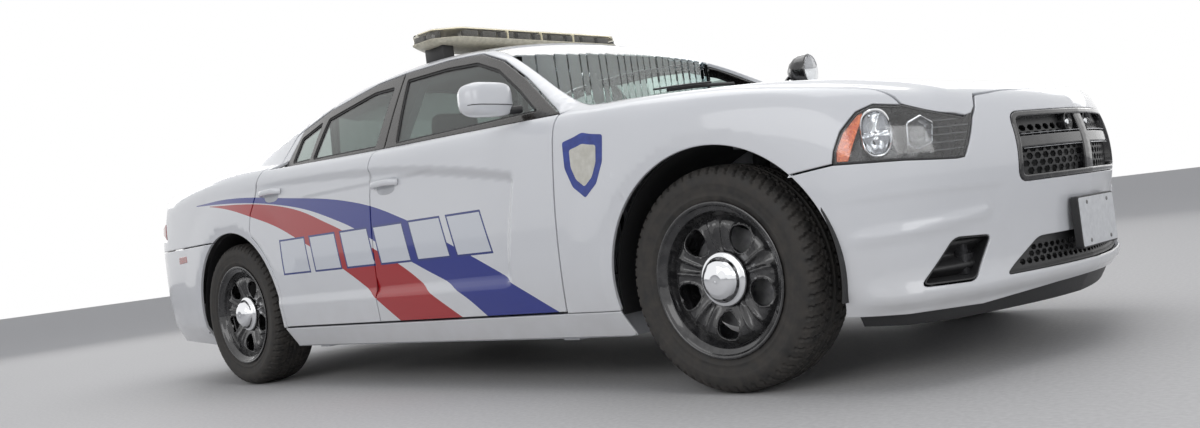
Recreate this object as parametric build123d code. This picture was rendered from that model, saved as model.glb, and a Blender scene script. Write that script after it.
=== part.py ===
"""Full-size four-door police patrol car with a fastback roof.

Millimetres. X points forward, Y to the car's left, Z up. The origin is on the ground, at the
middle of the car's length and width. The body's outside is two lofts, one below the belt line
and one above it, and every panel is a piece of their skins between the real shut lines.
"""
import math
import os

from build123d import *

os.makedirs("parts", exist_ok=True)

# Overall size and wheels
length = 5077.0
wheelbase = 3052.0
front_overhang = 870.0
front_track = 1610.0
rear_track = 1620.0
ground = 0.0

tyre_radius = 360.0
tyre_width = 225.0
rim_radius = 247.0
rim_bead_gap = 0.3
hub_cap_radius = 78.0

nose_x = length / 2
tail_x = -length / 2
front_axle_x = nose_x - front_overhang
rear_axle_x = front_axle_x - wheelbase
front_wheel_y = front_track / 2
rear_wheel_y = rear_track / 2
hub_z = ground + tyre_radius

# Skins, gaps and clearances
panel_gap = 6.0
skin = 25.0
glass_thickness = 6.0
glass_inset = 10.0
seat_gap = 0.3
frame_depth = 40.0
trim_y = 795.0
arch_radius = 420.0
rear_arch_radius = 415.0
rear_arch_shift = 18.0

# Sections of the body below the belt, from the nose to the tail. Columns: x from the middle,
# underside z, half width of the underside, half width and z of the sill bend, half width and z
# of the widest line, half width and z of the shoulder, half width and z of the top's edge,
# z of the top at the middle.
LOWER = [
    (2620, 195, 560, 660, 290, 690, 560, 660, 715, 560, 762, 770),
    (2150, 192, 800, 884, 300, 906, 560, 890, 780, 790, 882, 925),
    (1668, 190, 850, 922, 290, 947, 600, 930, 862, 812, 966, 1016),
    (1140, 187, 868, 926, 285, 948, 620, 932, 915, 838, 1000, 1082),
    (0, 187, 870, 928, 285, 951, 620, 934, 945, 868, 1024, 1052),
    (-900, 187, 870, 928, 290, 952, 640, 936, 968, 850, 1064, 1090),
    (-1384, 190, 865, 926, 300, 952, 660, 932, 990, 800, 1088, 1116),
    (-2000, 200, 830, 900, 320, 928, 660, 905, 965, 745, 1070, 1108),
    (-2620, 240, 700, 790, 340, 812, 640, 780, 940, 650, 1052, 1098),
]

# Sections of the cabin above the belt. Columns: x, half width at the base, half width and z of
# the edge along pillars and roof, z of the roof or glass at the middle.
UPPER = [
    (1350, 900, 885, 958, 1036),
    (1110, 898, 866, 1003, 1143),
    (800, 896, 762, 1168, 1280),
    (520, 895, 676, 1316, 1398),
    (330, 895, 650, 1360, 1446),
    (-150, 895, 640, 1378, 1468),
    (-628, 894, 652, 1334, 1444),
    (-1050, 890, 690, 1232, 1350),
    (-1430, 880, 735, 1118, 1205),
    (-1800, 860, 770, 1010, 1062),
]
cabin_base_z = 940.0
side_glass_bulge = 9.0


def lower_body(inset=0.0):
    """The body below the belt as one solid, its skin moved in by inset."""
    wires = []
    for x, z0, y0, y1, z1, y2, z2, y3, z3, y4, z4, z5 in LOWER:
        half = [
            (y0 - inset * 0.7, z0 + inset), (y1 - inset, z1 + inset * 0.5), (y2 - inset, z2),
            (y3 - inset, z3 - inset * 0.4), (y4 - inset * 0.6, z4 - inset),
        ]
        left = [Vector(x, y, z) for y, z in half]
        right = [Vector(x, -y, z) for y, z in half]
        shoulder = Vector(x, y3 * 0.42 + y4 * 0.58 - inset * 0.8 + 14,
                          z3 * 0.34 + z4 * 0.66 - inset * 0.8 + 6)
        crown = Vector(x, 0, z5 - inset)
        mirrored_shoulder = Vector(x, -shoulder.Y, shoulder.Z)
        wires.append(Wire([
            Edge.make_line(right[0], left[0]),
            Edge.make_line(left[0], left[1]),
            Edge.make_three_point_arc(left[1], left[2], left[3]),
            Edge.make_three_point_arc(left[3], shoulder, left[4]),
            Edge.make_three_point_arc(left[4], crown, right[4]),
            Edge.make_three_point_arc(right[4], mirrored_shoulder, right[3]),
            Edge.make_three_point_arc(right[3], right[2], right[1]),
            Edge.make_line(right[1], right[0]),
        ]))
    return Solid.make_loft(wires, ruled=False)


def cabin(inset=0.0):
    """The closed form above the belt, its skin moved in by inset."""
    wires = []
    for x, y0, y1, z1, z2 in UPPER:
        base, edge = y0 - inset, y1 - inset * 0.9
        edge_z, crown_z = z1 - inset * 0.8, z2 - inset
        base_z = cabin_base_z - inset
        middle = ((base + edge) / 2 + side_glass_bulge, (base_z + edge_z) / 2)
        wires.append(Wire([
            Edge.make_line(Vector(x, -base, base_z), Vector(x, base, base_z)),
            Edge.make_three_point_arc(
                Vector(x, base, base_z), Vector(x, *middle), Vector(x, edge, edge_z)),
            Edge.make_three_point_arc(
                Vector(x, edge, edge_z), Vector(x, 0, crown_z), Vector(x, -edge, edge_z)),
            Edge.make_three_point_arc(
                Vector(x, -edge, edge_z), Vector(x, -middle[0], middle[1]),
                Vector(x, -base, base_z)),
        ]))
    return Solid.make_loft(wires, ruled=False)


def prism(points, direction, amount):
    """A polygon, given as points in space, pushed along direction."""
    face = make_face(Polyline(*points, close=True))
    return extrude(face, amount=amount, dir=direction).solid()


def side_prism(points, y0, y1):
    """An outline in X and Z, pushed from y0 to y1."""
    return prism([(x, y0, z) for x, z in points], (0, 1, 0), y1 - y0)


def plan_prism(points, z0, z1):
    """An outline in X and Y, pushed from z0 to z1."""
    return prism([(x, y, z0) for x, y in points], (0, 0, 1), z1 - z0)


def front_prism(points, x0, x1):
    """An outline in Y and Z, pushed from x0 to x1."""
    return prism([(x0, y, z) for y, z in points], (1, 0, 0), x1 - x0)


def box(x0, x1, y0, y1, z0, z1):
    return Pos(x0, y0, z0) * Solid.make_box(x1 - x0, y1 - y0, z1 - z0)


def rod_y(x, z, radius, y0, y1):
    return Solid.make_cylinder(radius, y1 - y0, Plane((x, y0, z), z_dir=(0, 1, 0)))


def rod_z(x, y, radius, z0, z1):
    return Solid.make_cylinder(radius, z1 - z0, Plane((x, y, z0), z_dir=(0, 0, 1)))


def rod_between(start, end, radius):
    axis = Vector(*end) - Vector(*start)
    return Solid.make_cylinder(radius, axis.length, Plane(start, z_dir=axis))


def mirrored(shape):
    """The right-hand copy of a left-hand piece."""
    return mirror(shape, about=Plane.XZ)


def solids_of(shape):
    """The solids in a result, without crumbs under a cubic centimetre."""
    return [s for s in shape.solids() if s.volume > 1000]


def largest(shape):
    """The biggest solid of a result, which drops what a cut has left beside it."""
    return max(shape.solids(), key=lambda s: s.volume)


def save(name, *shapes):
    """Write one node from the solids of its shapes."""
    solids = [s for shape in shapes for s in solids_of(shape)]
    export_step(solids[0] if len(solids) == 1 else Compound(children=solids), f"parts/{name}.step")


def save_pair(name, left):
    save(name, left, mirrored(left))


# Outline of the nose and tail in plan and in side view
nose_corner = (nose_x - 98, 640.0)
nose_cheek = (nose_x - 205, 808.0)
nose_side = (nose_x - 430, 908.0)
tail_corner = (tail_x + 84, 690.0)
tail_cheek = (tail_x + 150, 822.0)
tail_side = (tail_x + 400, 912.0)
nose_widest_z = 470.0
nose_lip_back, nose_lip_z = 62.0, 805.0
chin_z, chin_back = 150.0, 112.0
tail_widest_z, tail_ledge_z = 560.0, 700.0
tail_low_back = 110.0
# The tail above the bumper's ledge, as distance from the rearmost point and z, from the top down
tail_top, tail_middle, tail_low = (46.0, 1060.0), (34.0, 900.0), (14.0, 735.0)
side_straight_y = 1010.0
side_straight_dx = 200.0
body_top_z = 1250.0


def ends(inset=0.0):
    """What bounds the body's nose and tail, moved in by inset."""
    def plan_point(point, sign=1):
        x, y = point
        return Vector(x - math.copysign(inset, x), sign * (y - inset * 0.8), 0)

    nose_far = (nose_side[0] - side_straight_dx, side_straight_y)
    tail_far = (tail_side[0] + side_straight_dx, side_straight_y)
    edges = [
        Edge.make_three_point_arc(
            plan_point(nose_corner), Vector(nose_x - inset, 0, 0), plan_point(nose_corner, -1)),
        Edge.make_three_point_arc(
            plan_point(tail_corner, -1), Vector(tail_x + inset, 0, 0), plan_point(tail_corner)),
    ]
    for sign in (1, -1):
        edges += [
            Edge.make_three_point_arc(
                plan_point(nose_corner, sign), plan_point(nose_cheek, sign), plan_point(nose_side, sign)),
            Edge.make_line(plan_point(nose_side, sign), plan_point(nose_far, sign)),
            Edge.make_line(plan_point(nose_far, sign), plan_point(tail_far, sign)),
            Edge.make_line(plan_point(tail_far, sign), plan_point(tail_side, sign)),
            Edge.make_three_point_arc(
                plan_point(tail_side, sign), plan_point(tail_cheek, sign), plan_point(tail_corner, sign)),
        ]
    plan = extrude(make_face(Wire(edges)), amount=body_top_z, dir=(0, 0, 1)).solid()

    front, back = nose_x - inset, tail_x + inset
    lip = Vector(front - nose_lip_back, 0, nose_lip_z)
    chin = Vector(front - chin_back, 0, chin_z)
    tail_foot = Vector(back + tail_low_back, 0, chin_z)
    high, middle, low = [Vector(back + dx, 0, z) for dx, z in (tail_top, tail_middle, tail_low)]
    front_top = Vector(front - nose_lip_back, 0, body_top_z)
    back_top = Vector(high.X, 0, body_top_z)
    ledge, widest = Vector(back, 0, tail_ledge_z), Vector(back, 0, tail_widest_z)
    side = Wire([
        Edge.make_tangent_arc(Vector(front, 0, nose_widest_z), Vector(0, 0, 1), lip),
        Edge.make_line(lip, front_top),
        Edge.make_line(front_top, back_top),
        Edge.make_line(back_top, high),
        Edge.make_three_point_arc(high, middle, low),
        Edge.make_line(low, ledge),
        Edge.make_line(ledge, widest),
        Edge.make_tangent_arc(widest, Vector(0, 0, -1), tail_foot),
        Edge.make_line(tail_foot, chin),
        Edge.make_tangent_arc(Vector(front, 0, nose_widest_z), Vector(0, 0, -1), chin),
    ])
    slab = extrude(make_face(side), amount=1100, dir=(0, 1, 0), both=True).solid()
    return plan & slab


outer = (lower_body() & ends()).solid()
inner_skin = (lower_body(skin) & ends(skin)).solid()
shell = outer - inner_skin
upper = cabin()
upper_frame = upper - cabin(frame_depth)
upper_skin = upper - cabin(skin)
glass_layer = (cabin(glass_inset) - cabin(glass_inset + glass_thickness)).solid()

front_arch = rod_y(front_axle_x + 4, hub_z, arch_radius, 480, 1100)
rear_arch = rod_y(rear_axle_x + rear_arch_shift, hub_z, rear_arch_radius, 480, 1100)

# Shut lines. Side outlines are x and z, plan outlines x and y.
door_bottom_z = 286.0
front_door_edge = [(1000, door_bottom_z - 4), (1018, 560), (1034, 780), (1050, 1000)]
door_split = [(-150, door_bottom_z), (-146, 480), (-124, 830), (-98, 960), (-80, 1040), (-128, 1340)]
rear_door_edge = [(-1000, 1095), (-1056, 988), (-1118, 850), (-1126, 770)]
rear_door_arch = rear_arch_radius + 42
half_gap = panel_gap / 2


def shifted(points, dx):
    return [(x + dx, z) for x, z in points]


def door_slab(front_line, rear_line):
    """The part of a left door under the belt, flat on its inner side."""
    outline = front_line + rear_line[::-1]
    return (outer & side_prism(outline, trim_y, 1100)).solid()


front_door_low = door_slab(
    shifted(front_door_edge, -panel_gap) + [(1052 - panel_gap, 1100)],
    shifted(door_split[:5], half_gap) + [(-76 + half_gap, 1100)])
# The rear door's front edge falls back a little more at the belt, where the front door swings past
belt_relief = 3.0
rear_low_outline = shifted(door_split[:3], -half_gap) + shifted(door_split[3:5], -half_gap - belt_relief)
rear_low_outline += [(-76 - half_gap - belt_relief, 1100), (-990, 1120)]
rear_low_outline += shifted(rear_door_edge, panel_gap) + [(-1110, 700), (-900, door_bottom_z)]
rear_door_low = (outer & side_prism(rear_low_outline, trim_y, 1100)).solid()
rear_door_low = (rear_door_low - rod_y(
    rear_axle_x + rear_arch_shift, hub_z, rear_door_arch, 480, 1100)).solid()

# Window frames. The outer outline runs round the door's upper part, the inner one is the glass.
front_frame = [(1016, 1000), (760, 1170), (585, 1272), (418, 1336), (190, 1354), (-122, 1358)]
front_window = [(905, 1022), (755, 1128), (575, 1242), (408, 1304), (200, 1322), (-88, 1326), (-2, 1034)]
rear_frame = [(-134, 1358), (-340, 1350), (-720, 1286), (-968, 1202), (-1000, 1095)]
rear_window_outline = [(-166, 1326), (-340, 1318), (-700, 1256), (-905, 1184), (-900, 1080), (-132, 1052)]
rear_divider = [(-700, 1040), (-675, 1040), (-735, 1290), (-760, 1290)]

latch_step = 18.0
ring_inside = cabin(glass_inset + glass_thickness)


def latch_relief(line, step):
    """The inner layer of a window frame along its latch side, which would catch as it swings."""
    return ring_inside & side_prism(line + shifted(line, step)[::-1], 450, 1100)


front_ring_outline = front_frame + [(-78, 1010)]
front_ring = upper_frame & side_prism(front_ring_outline, 500, 1000)
front_ring = front_ring - side_prism(front_window, 500, 1000)
front_ring = front_ring - latch_relief([(-140, 1380), (-96, 1004)], latch_step + 18)
rear_ring_outline = rear_frame + [(-990, 1040), (-92 - half_gap, 1010)]
rear_ring = upper_frame & side_prism(rear_ring_outline, 500, 1000)
rear_latch_line = [(-720, 1300), (-980, 1214), (-1012, 1095), (-1000, 1030)]
rear_ring = rear_ring - latch_relief(rear_latch_line, latch_step + 4)
# Its inner layer is lower along the top too, where it swings back past the falling roof rail
top_relief = 18.0
rear_top = [(-90, 1362)] + rear_frame[:4]
rear_ring = rear_ring - (ring_inside & side_prism(
    rear_top + [(x, z - top_relief) for x, z in rear_top[::-1]], 450, 1100))
rear_ring = rear_ring - (side_prism(rear_window_outline, 500, 1000) - side_prism(rear_divider, 500, 1000))


def slab_bevel(line, step):
    """The wedge that a door's latch face loses, more on its inner side."""
    low, high = line[0], line[-1]
    outer_side = [(x - 1, 952.0, z) for x, z in (low, high)]
    inner_side = [(x + step, trim_y - 1, z) for x, z in (low, high)]
    lost_side = [(x - 40, 952.0, z) for x, z in (low, high)]
    lost_inner = [(x - 40, trim_y - 1, z) for x, z in (low, high)]
    bottom = Wire(Polyline(outer_side[0], inner_side[0], lost_inner[0], lost_side[0], close=True).edges())
    top = Wire(Polyline(outer_side[1], inner_side[1], lost_inner[1], lost_side[1], close=True).edges())
    return Solid.make_loft([bottom, top], ruled=True)


for low, high in zip(door_split[:4], door_split[1:5]):
    low, high = (low[0] + half_gap, low[1] - 1), (high[0] + half_gap, high[1] + 1)
    front_door_low = front_door_low - slab_bevel([low, high], latch_step)
rear_latch = shifted(rear_door_edge, panel_gap)
for low, high in zip(rear_latch[1:], rear_latch[:-1]):
    rear_door_low = rear_door_low - slab_bevel([low, (high[0], high[1] + 1)], latch_step + 4)
# The hollow pressed into both doors, deepest at its upright front wall and fading towards the rear
hollow_side = [(-700, 978), (-106, 945), (319, 897), (600, 852), (752, 818), (786, 792), (800, 740),
               (752, 453), (700, 408), (-560, 400)]
hollow_plan = [(-700, 1010), (-700, 953), (800, 926), (840, 1010)]
hollow = side_prism(hollow_side, 700, 1100) & plan_prism(hollow_plan, 300, 1100)
front_door_low = (front_door_low - hollow).solid()
rear_door_low = (rear_door_low - hollow).solid()
front_door = (front_door_low + front_ring).solid()
rear_door = (rear_door_low + rear_ring).solid()

# Glass of the doors, 5 mm off the frame's corners so that it sits in its channel
front_glass = (glass_layer & side_prism(front_window, 500, 1000)).solid()
rear_glass = glass_layer & (side_prism(rear_window_outline, 500, 1000) - side_prism(rear_divider, 500, 1000))

# Hood, fender and trunk lid shut lines, in plan
hood_half = [(1196, 822), (1700, 806), (2150, 772), (2376, 716), (2392, 650), (2408, 560), (2420, 0)]
hood_back = [(1262, 600), (1300, 300), (1312, 0)]
hood_low = 752.0


def hood_outline(grow):
    """The hood's plan outline, grown by a gap on every side."""
    left = [(x + (grow if x > 2300 else 0) - (grow if x < 1200 else 0), y + grow) for x, y in hood_half[:-1]]
    front = [(hood_half[-1][0] + grow, 0)]
    back = [(x - grow, y) for x, y in hood_back]
    right = [(x, -y) for x, y in left[::-1]]
    return (back[::-1][:1] + back[::-1][1:] + left + front + right
            + [(x, -y) for x, y in back[:-1]])


hood_tool = plan_prism(hood_outline(-half_gap), hood_low, 1200)
hood_hole = plan_prism(hood_outline(half_gap), hood_low, 1200)
hood = largest(shell & hood_tool)

lid_front_x = -1648.0
lid_half_width = 690.0
lid_low_z = 742.0
lid_tool = box(tail_x - 60, lid_front_x, -lid_half_width + half_gap, lid_half_width - half_gap,
               lid_low_z + half_gap, 1200)
lid_hole = box(tail_x - 60, lid_front_x + half_gap, -lid_half_width - half_gap, lid_half_width + half_gap,
               lid_low_z - half_gap, 1200)
trunk_lid = largest(shell & lid_tool)

# Headlamps and tail lamps: a side outline, and a slanted back in plan
lamp_side = [(2118, 664), (2170, 758), (2256, 812), (2330, 796), (2384, 749), (2580, 746), (2580, 634),
             (2300, 634)]
lamp_plan = [(2118, 1000), (2040, 880), (2256, 758), (2380, 730), (2384, 692), (2500, 692), (2600, 760),
             (2600, 1000)]
lamp_hole = side_prism(lamp_side, 600, 1000) & plan_prism(lamp_plan, 500, 1000)
headlamp = (outer & lamp_hole).solid()
tail_lamp_side = [(-2210, 800), (-2230, 905), (-2600, 905), (-2600, 800)]
tail_lamp_plan = [(-2190, 1000), (-2200, 830), (-2400, 694), (-2600, 694), (-2600, 1000)]
tail_hole = side_prism(tail_lamp_side, 600, 1000) & plan_prism(tail_lamp_plan, 500, 1000)
tail_lamp = (outer & tail_hole).solid()

# Bumper seams in side view
seam_gap = 0.4
front_seam_line = [(1900, 100), (1900, 640), (2118, 664), (2300, 634)]
front_seam = front_seam_line + [(2700, 634), (2700, 100)]
rear_seam_line = [(-1400, 100), (-1400, 735), (-2120, 742), (-2240, 742)]
rear_seam = rear_seam_line + [(-2700, 742), (-2700, 100)]

# The flares round the wheel arches stand proud of the skin
flare_rise, front_flare_width, rear_flare_width = 13.0, 44.0, 34.0
flare_inner_y = 905.0
proud_body = lower_body(-flare_rise)


def flare(x, radius, width):
    ring = rod_y(x, hub_z, radius + width, flare_inner_y, 1100) - rod_y(x, hub_z, radius, 900, 1100)
    ring = ring & box(x - 600, x + 600, 900, 1100, door_bottom_z - 3, 900)
    return (proud_body & ring).solid()


front_flare = flare(front_axle_x + 4, arch_radius, front_flare_width)
rear_flare = flare(rear_axle_x + rear_arch_shift, rear_arch_radius, rear_flare_width)

# Front fender: the skin from the door to the bumper and up to the hood
fender_region = front_door_edge + [(1054, 1100), (2330, 1100), (2330, 634)]
fender_region += [(x - seam_gap, z + seam_gap) for x, z in front_seam_line[:0:-1]]
fender_region += [(1500, 283)]
fender_cut = side_prism(fender_region, 550, 1100)
front_fender = largest((shell & fender_cut) - hood_hole - front_arch - lamp_hole)
front_fender = largest(front_fender + (front_flare & fender_cut))

# Front bumper: one wrap-round skin with the grille, lower grille and side recesses cut
grille = [(-452, 757), (452, 757), (508, 548), (-508, 548)]
lower_grille = [(-420, 388), (420, 388), (575, 292), (-575, 292)]
side_recess = [(640, 420), (792, 420), (872, 306), (672, 300)]
front_bumper_region = side_prism(front_seam, -1100, 1100) + box(2330, 2700, -692, 692, 600, 900)
front_bumper = shell & front_bumper_region
front_bumper = front_bumper - hood_hole - front_arch - mirrored(front_arch) - lamp_hole - mirrored(lamp_hole)
for outline in (grille, lower_grille, side_recess, [(-y, z) for y, z in side_recess]):
    front_bumper = front_bumper - front_prism(outline, 2200, 2700)
bumper_flare = front_flare & side_prism(front_seam, 800, 1100)
front_bumper = largest(largest(front_bumper) + bumper_flare + mirrored(bumper_flare))
plate_face_x = nose_x - 28.5
plate_z = 398.0
plate_hole_z = plate_z + 60
plate_hole_pitch = 178.0
front_bumper = front_bumper - box(plate_face_x - 4, nose_x + 60, -162, 162, plate_z - 84, plate_z + 84)
front_bumper = front_bumper + box(plate_face_x - 14, plate_face_x, -170, 170, plate_z - 92, plate_z + 92)
for y in (-plate_hole_pitch / 2, plate_hole_pitch / 2):
    hole_end = (plate_face_x + 5, y, plate_hole_z)
    front_bumper = front_bumper - rod_between((plate_face_x - 20, y, plate_hole_z), hole_end, 3.5)
front_bumper = front_bumper.solid()

rear_bumper = shell & side_prism(rear_seam, -1100, 1100)
rear_bumper = rear_bumper - box(tail_x + 110, -1700, -790, 790, 100, 300)
for y in (520, -520):
    rear_bumper = rear_bumper - rod_between((-2400, y, 238), (-2600, y, 228), 48)
rear_bumper = rear_bumper - rear_arch - mirrored(rear_arch)
bumper_flare = rear_flare & side_prism(rear_seam, 800, 1100)
rear_bumper = largest(largest(rear_bumper) + bumper_flare + mirrored(bumper_flare))

# Rear quarter, with the pillar beside the rear window
backlight_half = [(-722, 596), (-1100, 640), (-1450, 678), (-1606, 690)]
quarter_region = rear_door_edge + [(-1112, 690), (-896, 283), (-1766, 283)]
quarter_region += [(x, z + seam_gap) for x, z in rear_seam_line[1:]]
quarter_region += [(-2600, 742 + seam_gap), (-2600, 1250), (-960, 1250)]
quarter_cut = side_prism(quarter_region, 600, 1100)
rear_quarter = shell & quarter_cut
rear_quarter = rear_quarter - rear_arch - lid_hole - tail_hole - box(lid_front_x, -900, 500, 700, 1000, 1250)
pillar_region = [(-1050, 1000), (-1006, 1092), (-980, 1216), (-714, 1308), (-690, 1500), (-1650, 1500),
                 (-1650, 1000)]
backlight_cut = [(-600, 596)] + backlight_half + [(-1700, 690)]
backlight_cut += [(x, -y) for x, y in backlight_cut[::-1]]
backlight_hole = plan_prism(backlight_cut, 900, 1600)
pillar = upper_frame & side_prism(pillar_region, 400, 1100)
pillar = largest(pillar - backlight_hole)
rear_quarter = largest(rear_quarter) + largest(rear_flare & quarter_cut)
rear_quarter = largest(rear_quarter + pillar)

# Roof, screens and the rails between them and the doors
screen_layer = (cabin(4) - cabin(4 + glass_thickness)).solid()
roof_half_width = 592.0
roof_front_x, roof_rear_x = 392.0, -712.0
roof_box = box(roof_rear_x, roof_front_x, -roof_half_width, roof_half_width, 1200, 1600)
roof_panel = (upper_skin & roof_box).solid()
screen_gap = 0.7
windshield_half = [(roof_front_x + screen_gap, 594), (520, 632), (800, 716), (1118, 820), (1150, 800),
                   (1236, 600), (1276, 300), (1286, 0)]
windshield_plan = windshield_half + [(x, -y) for x, y in windshield_half[-2::-1]]
windshield = (screen_layer & plan_prism(windshield_plan, 960, 1600)).solid()
rear_window_plan = [(roof_rear_x - screen_gap, 594)] + backlight_half[1:3] + [(-1600, 690)]
rear_window_plan = [(x, y - screen_gap) for x, y in rear_window_plan]
rear_window_plan += [(x, -y) for x, y in rear_window_plan[::-1]]
rear_window = (screen_layer & plan_prism(rear_window_plan, 1000, 1600)).solid()

rail_region = [(1045, 960), (1024, 1004), (766, 1176), (589, 1279), (420, 1342), (190, 1360), (-128, 1364),
               (-341, 1356), (-706, 1295), (-684, 1500), (1400, 1500), (1400, 960)]
rail_cut = [(1420, 960), (1150, 828)] + [(x, y + screen_gap) for x, y in windshield_half[3::-1]]
rail_cut += [(-1000, 598)]
rail_cut += [(x, -y) for x, y in rail_cut[::-1]]
roof_rail = upper_frame & side_prism(rail_region, 400, 1100)
roof_rail = roof_rail - plan_prism(rail_cut, 900, 1600) - outer - hood_hole
roof_rail = largest(roof_rail)

# Side frame: sill, hinge post, centre pillar and the hinge leaves that carry the doors
sill_front_x, sill_rear_x = 1238.0, -938.0
sill_top_z = door_bottom_z - panel_gap
cabin_half = 736.0
pillar_face_y = trim_y - 9
frame_y = cabin_half + seat_gap
sill = (outer & box(sill_rear_x, sill_front_x, frame_y, 1000, 150, sill_top_z)).solid()
sill = sill - rod_y(front_axle_x + 4, hub_z, arch_radius + 15, 480, 1100)
sill = sill + box(sill_rear_x, 1100, frame_y, pillar_face_y, sill_top_z - 20, 400)
hinge_post = box(950, 1130, frame_y, pillar_face_y, sill_top_z - 20, 949.7)
inner_limit = (lower_body(skin + seat_gap) & ends(skin + seat_gap)).solid()
post_bracket = inner_limit & box(1096, 1128, 760, 1000, 860, 884)
pad_height = 70.0
# Hinge pads that stand a hair off a closed door. Columns: first x, last x, middle z.
HINGE_PADS = [(955, 985, 430), (955, 985, 800), (-185, -160, 430), (-185, -160, 800)]

pillar_low = [(-205, 400), (-55, 400), (-80, 1000), (-180, 1000)]
centre_pillar = side_prism(pillar_low, frame_y, pillar_face_y)
pillar_high = [(786, 985), (590, 1330), (556, 1346), (556, 1420), (536, 1420), (546, 1330), (746, 985)]
roof_limit = cabin(skin + seat_gap)
centre_pillar = centre_pillar + (front_prism(pillar_high, -172, -92) & roof_limit)
hinge_pads = [box(x0, x1, pillar_face_y - 1, trim_y - seat_gap, z - pad_height / 2, z + pad_height / 2)
              for x0, x1, z in HINGE_PADS]
# Jacking pads under the sill. Column: middle x.
JACK_PADS = [930, -730]
jack_pad_z = 178.0
jack_pads = [box(x - 40, x + 40, 795, 855, jack_pad_z, 200) for x in JACK_PADS]
side_frame = (sill + hinge_post + post_bracket + centre_pillar + hinge_pads + jack_pads).solid()

floor_z = 205.0
floor_wall = 12.0
trunk_half = 668.0
trunk_rear_x = -2395.0
floor_line = [(1150, 470), (1030, floor_z), (-600, floor_z), (-690, 330), (-1090, 340), (-1190, 470),
              (-1700, 470), (-1760, 420), (trunk_rear_x, 420)]


def sheet(points, wall):
    """A bent sheet's side outline: its line and the line a wall's thickness above."""
    return points + [(x, z + wall) for x, z in points[::-1]]


floor_front = side_prism(sheet(floor_line[:4] + [(-960, 336)], floor_wall), -cabin_half, cabin_half)
floor_rear = side_prism(sheet([(-955, 336)] + floor_line[4:], floor_wall), -trunk_half, trunk_half)
tunnel = [(-150, floor_z), (-105, 400), (105, 400), (150, floor_z), (138, floor_z), (94, 388), (-94, 388),
          (-138, floor_z)]
floor_pan = floor_front + floor_rear - box(-600, 1010, -140, 140, 150, 216)
floor_pan = floor_pan - box(-695, 1165, -93, 93, 150, 387) + front_prism(tunnel, -690, 1100)
floor_pan = floor_pan + box(-690, -684, -100, 100, 332, 395)
trunk_walls = [(-1195, 475), (-1202, 999.7), (-1620, 1049.7), (-1640, 990), (-2300, 980), (-2300, 790),
               (trunk_rear_x, 734), (trunk_rear_x, 425), (-1764, 425), (-1704, 475)]
trunk_wall = side_prism(trunk_walls, trunk_half - floor_wall, trunk_half)
# The lid rests on a post at each side, well behind its hinge line
lid_post = inner_limit & box(-1725, -1695, trunk_half - floor_wall, trunk_half, 975, 1200)
trunk_wall = trunk_wall + lid_post
back_panel = box(trunk_rear_x - 12, trunk_rear_x, -trunk_half, trunk_half, 420, 734)
floor_pan = (floor_pan + trunk_wall + mirrored(trunk_wall) + back_panel).solid()
rear_shelf = side_prism([(-1200, 1000), (-1200, 1012), (-1620, 1062), (-1620, 1050)], -900, 900)
rear_shelf = rear_shelf & cabin(frame_depth + seat_gap)
deck_panel = shell & box(-1644, -1612, -678, 678, 1000, 1200)
rear_shelf = rear_shelf + deck_panel + box(-1630, -1612, -600, 600, 1040, 1100)
seat_bulkhead = side_prism([(-1168, 482), (-1180, 482), (-1246, 1006), (-1234, 1006)], -640, 640)
rear_shelf = (rear_shelf + seat_bulkhead).solid()
firewall_x = 1150.0
firewall = box(firewall_x, firewall_x + 12, -cabin_half, cabin_half, 470, 958)
cowl = box(firewall_x, 1330, -790, 790, 950, 962)
firewall = (firewall + cowl + box(firewall_x, 1158, -790, 790, 950, 985)).solid()
front_fender = largest(front_fender - box(900, 1199, 500, 828, 900, 1200))

# Grilles: a frame with a deep lattice, crossed by a wide bar and an upright in the upper one
mesh_pitch = 46.0
mesh_bar = 6.0


def lattice(outline, x0, x1, bars):
    """A grille insert: a rim and a lattice inside the outline, with its main bars."""
    rim = 10.0
    top, low = outline[0][1], outline[2][1]
    slope = (outline[2][0] - outline[1][0]) / (top - low)
    inner = [(outline[0][0] + rim, top - rim), (outline[1][0] - rim, top - rim),
             (outline[2][0] - rim * (1 + slope), low + rim), (outline[3][0] + rim * (1 + slope), low + rim)]
    whole = front_prism(outline, x0, x1)
    rim_part = whole - front_prism(inner, x0, x1)
    count = int((outline[2][0] - rim) // mesh_pitch)
    slats = [box(x0 + 4, x1 - 12, i * mesh_pitch - mesh_bar / 2, i * mesh_pitch + mesh_bar / 2, low, top)
             for i in range(-count, count + 1)]
    rows = int((top - low) // mesh_pitch)
    slats += [box(x0 + 4, x1 - 12, -700, 700, low + (i + 0.5) * (top - low) / rows - mesh_bar / 2,
                  low + (i + 0.5) * (top - low) / rows + mesh_bar / 2) for i in range(rows)]
    filling = (Part() + slats) & front_prism(inner, x0 - 1, x1 + 1)
    return (rim_part + filling + bars).solid()


def inside(outline, gap):
    """An outline listed from its top left, shrunk by a gap."""
    (y0, z0), (y1, z1), (y2, z2), (y3, z3) = outline
    return [(y0 + gap, z0 - gap), (y1 - gap, z1 - gap), (y2 - gap * 3, z2 + gap), (y3 + gap * 3, z3 + gap)]


grille_back_x = 2405.0
grille_depth = 46.0
grille_fit = 0.7
upper_bars = [box(grille_back_x, grille_back_x + grille_depth, -470, 470, 640, 676),
              box(grille_back_x, grille_back_x + grille_depth, -26, 26, 552, 752)]
upper_bars = (Part() + upper_bars) & front_prism(inside(grille, grille_fit), 2400, 2500)
upper_grille = lattice(inside(grille, grille_fit), grille_back_x, grille_back_x + grille_depth, upper_bars)
low_grille = lattice(inside(lower_grille, grille_fit), grille_back_x - 10, grille_back_x + 36, Part())

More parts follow.
